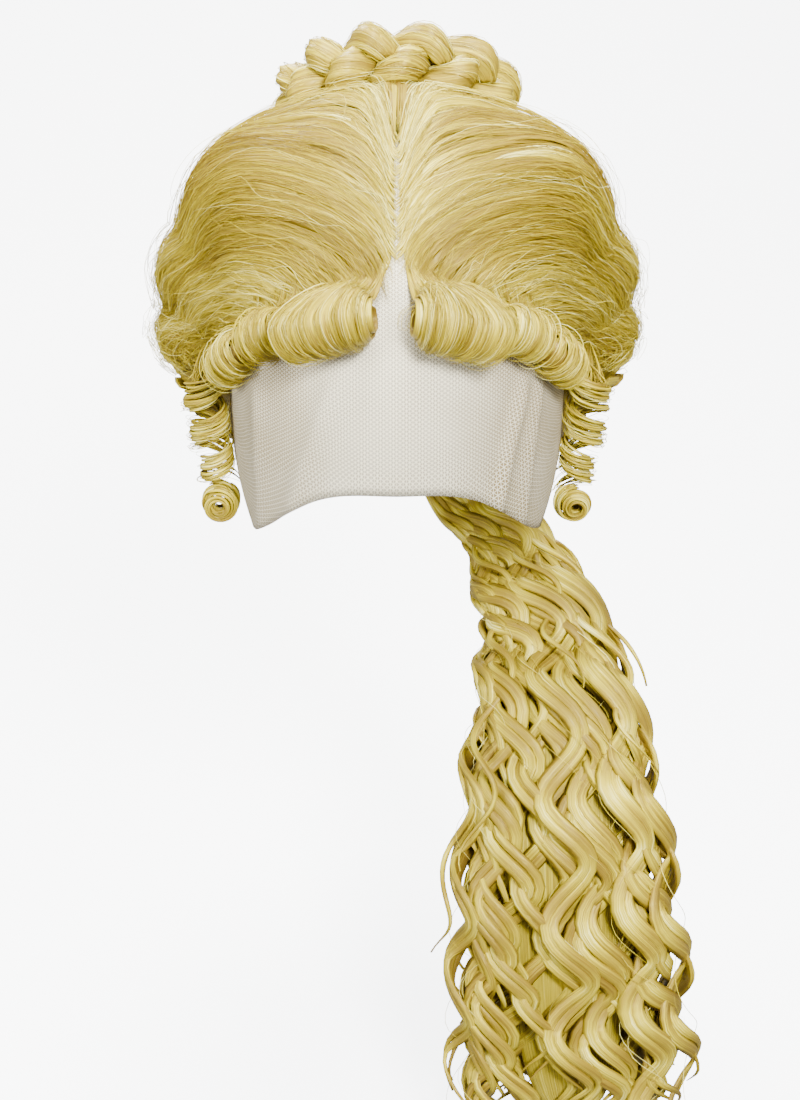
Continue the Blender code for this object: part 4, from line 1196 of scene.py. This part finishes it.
def waved(angle, depth, at, phase, size, wave, beside=0, lift=0):
    """With b = 2 pi along / wave + phase: across by cos(b), out by 0.4 sin(b), rolled by 20 sin(b + 0.9) degrees."""
    centre, width, deep, first, second, along = ponytail_at(at)
    grown = size * ease((along - 0.01) / 0.11)
    beat = math.tau * along / wave + phase
    oval = unit(first * (np.cos(angle) / width)[..., None] + second * (np.sin(angle) / deep)[..., None])
    tangent = unit(np.cross(np.cross(first, second), oval))
    middle = centre + first * (width * np.cos(angle) * depth)[..., None]
    middle = middle + second * (deep * np.sin(angle) * depth)[..., None]
    middle = middle + tangent * (grown * np.cos(beat))[..., None] + oval * (0.40 * grown * np.sin(beat))[..., None]
    outward = wheel(WAVE_ROLL * np.sin(beat + 0.9) * ease((along - 0.01) / 0.11), oval, tangent)
    across = np.cross(outward, unit(np.gradient(middle, axis=1)))
    return middle + across * np.asarray(beside)[..., None] + outward * np.asarray(lift)[..., None], outward


def ponytail():
    """A core, layers of wavy ribbons of one or two smooth locks each, on and in the oval, and loose hairs."""
    at = np.linspace(0, 0.925, 60)
    centre, width, deep, first, second, along = ponytail_at(at)
    angle = np.linspace(0, math.tau, 24, endpoint=False)
    width, deep = (size * np.sqrt(np.clip(1 - (at / 0.93) ** 8, 0.01, 1)) for size in (width, deep))
    rings = centre[:, None] + first[:, None] * (0.62 * width[:, None] * np.cos(angle))[..., None]
    rings = rings + second[:, None] * (0.55 * deep[:, None] * np.sin(angle))[..., None]
    uv = np.stack(np.broadcast_arrays(along[:, None] * 1000, 60 * np.cos(angle)), -1)
    parts = [tubes(rings[None], uv[None], np.full((1, 60, 24), 0.62))]
    steps = RIBBON_STEPS
    for ribbons, low, high, slim, stray, glow in RIBBONS:
        number = np.arange(ribbons)
        angle = (number + even(-0.3, 0.3, ribbons)) * math.tau / ribbons
        angle = np.arctan2(np.sin(angle), 1.3 * np.cos(angle))
        end = even(0.5, 0.92, ribbons) if stray else even(0.88, 1, ribbons)
        size = even(0.0075, 0.0110, ribbons)
        depth = low + (high - low) * (number % 2 + even(-0.15, 0.15, ribbons))
        phase = 1.8 * np.sin(angle + 4 * low) + 9 * low + dice.normal(0, 0.45, ribbons)
        wave = WAVE * even(0.96, 1.05, ribbons)
        pick = np.repeat(number, slim)
        row = np.tile(np.linspace(-1, 1, slim), ribbons) if slim > 1 else np.zeros(ribbons)
        count = len(pick)
        at = shares(steps)[None] * (end[pick] * even(0.94, 1, count))[:, None]
        full = 0.38 + 0.62 * ease(at * 3)
        beside = (row * 0.0025)[:, None] * full + wander(count, steps, 0.0011, 3)
        lift = wander(count, steps, 0.0008, 3)
        apart = depth[pick][:, None] + stray * ease((shares(steps)[None] - 0.72) / 0.28)
        angle, phase, size, wave = (value[pick][:, None] for value in (angle, phase, size, wave))
        path, outward = waved(angle, apart, at, phase, size, wave, beside, lift)
        beat = math.tau * ponytail_at(at)[5] / wave + phase
        # Painted highlight and shade: the tone rises and falls twice a wave, lighter on the slopes and darker at the
        # turns.
        light = glow + about(0, 0.06, count) + about(0, 0.04, ribbons)[pick] + 0.16 * np.sin(2 * beat + 0.6)
        half = (0.0035 if slim > 1 else 0.0020 if stray else 0.0048) * each(0.8, 1.25, count) * full
        parts.append(locks(path, outward, half, 0.0021, light, 6, 0.1, 0.02, 0.12, 0.08))

    count, steps = PONYTAIL_HAIRS, 90
    angle = each(0, math.tau, count)
    start = even(0, 0.55, count) ** 1.3
    at = between(start, np.minimum(start + even(0.3, 0.7, count), 1), steps)
    phase, depth = each(-math.pi, math.pi, count), each(0.9, 1.08, count)
    path, outward = waved(angle, depth, at, phase, 0.0095, 0.0520 * each(0.85, 1.15, count))
    parts.append(hairs(path, outward, (0.00011, 0.00020), (0.70, 0.15)))
    hair_piece("ponytail_hair", "ponytail", parts)


dice = np.random.default_rng(4)
ponytail()

# %% [markdown]
# ## Floor and light
#
# The photograph has an even, almost white ground. A pale sweep, flat under the wig and rising behind it,
# gives that. Large soft lamps from above, left and right keep the shadows faint, as in a studio, and a fourth
# one lights the back. The sweep glows by itself, but is hidden from the wig's own reflections.

# %% Sweep and lamps
SWEEP_HEIGHT, WORLD_COLOUR, WORLD_STRENGTH = -0.5275, (1, 0.99, 0.97, 1), 0.45
LAMPS = {  # place, aim, size, watts, colour
    "key": ((0.55, -1.7, 1.25), (0, 0, -0.1), 0.5, 146, (1, 0.99, 0.97)),
    "fill": ((-1.4, -1.0, 0.5), (0, 0, -0.2), 0.8, 42, (1, 0.995, 0.99)),
    "top": ((0, 0.1, 1.5), (0, 0, -0.1), 0.6, 74, (1, 0.99, 0.96)),
    "back": ((-0.4, 1.7, 0.9), (0, 0, -0.2), 0.8, 60, (1, 0.96, 0.88)),
}

paper = Finish("pale_paper").paint(
    Base_Color=(0.86, 0.87, 0.88, 1), Roughness=0.9, Emission_Color=(0.955, 0.975, 1, 1), Emission_Strength=4.9
)
x, s = np.meshgrid(np.linspace(-3, 3, 3), shares(40), indexing="ij")
bend = np.clip((s - 0.45) / 0.25, 0, 1) * math.pi / 2
y = -2.2 + np.minimum(s / 0.45, 1) * 3.6 + 0.9 * np.sin(bend)
z = SWEEP_HEIGHT + 0.9 * (1 - np.cos(bend)) + np.maximum(s - 0.70, 0) * 9
a, b, c, d = cell_corners(*x.shape)
faces = np.stack([a, d, c, b], -1)
points = np.stack([x, y, z], -1).reshape(-1, 3)
sweep = new_piece("sweep", points, faces.reshape(-1), np.full(faces.size // 4, 4), paper)
sweep.visible_diffuse = sweep.visible_glossy = False

world = bpy.data.worlds.new("studio")
world.use_nodes = True
background = world.node_tree.nodes["Background"]
background.inputs[0].default_value, background.inputs[1].default_value = WORLD_COLOUR, WORLD_STRENGTH
bpy.context.scene.world = world

for name, (place, aim, size, watts, colour) in LAMPS.items():
    light = bpy.data.lights.new(name, "AREA")
    light.size, light.energy, light.color = size, watts, colour
    body = bpy.data.objects.new(name, light)
    body.location = place
    body.rotation_mode = "QUATERNION"
    body.rotation_quaternion = (Vector(aim) - Vector(place)).to_track_quat("-Z", "Y")
    bpy.context.scene.collection.objects.link(body)
print("sweep and", len(LAMPS), "lamps are up")
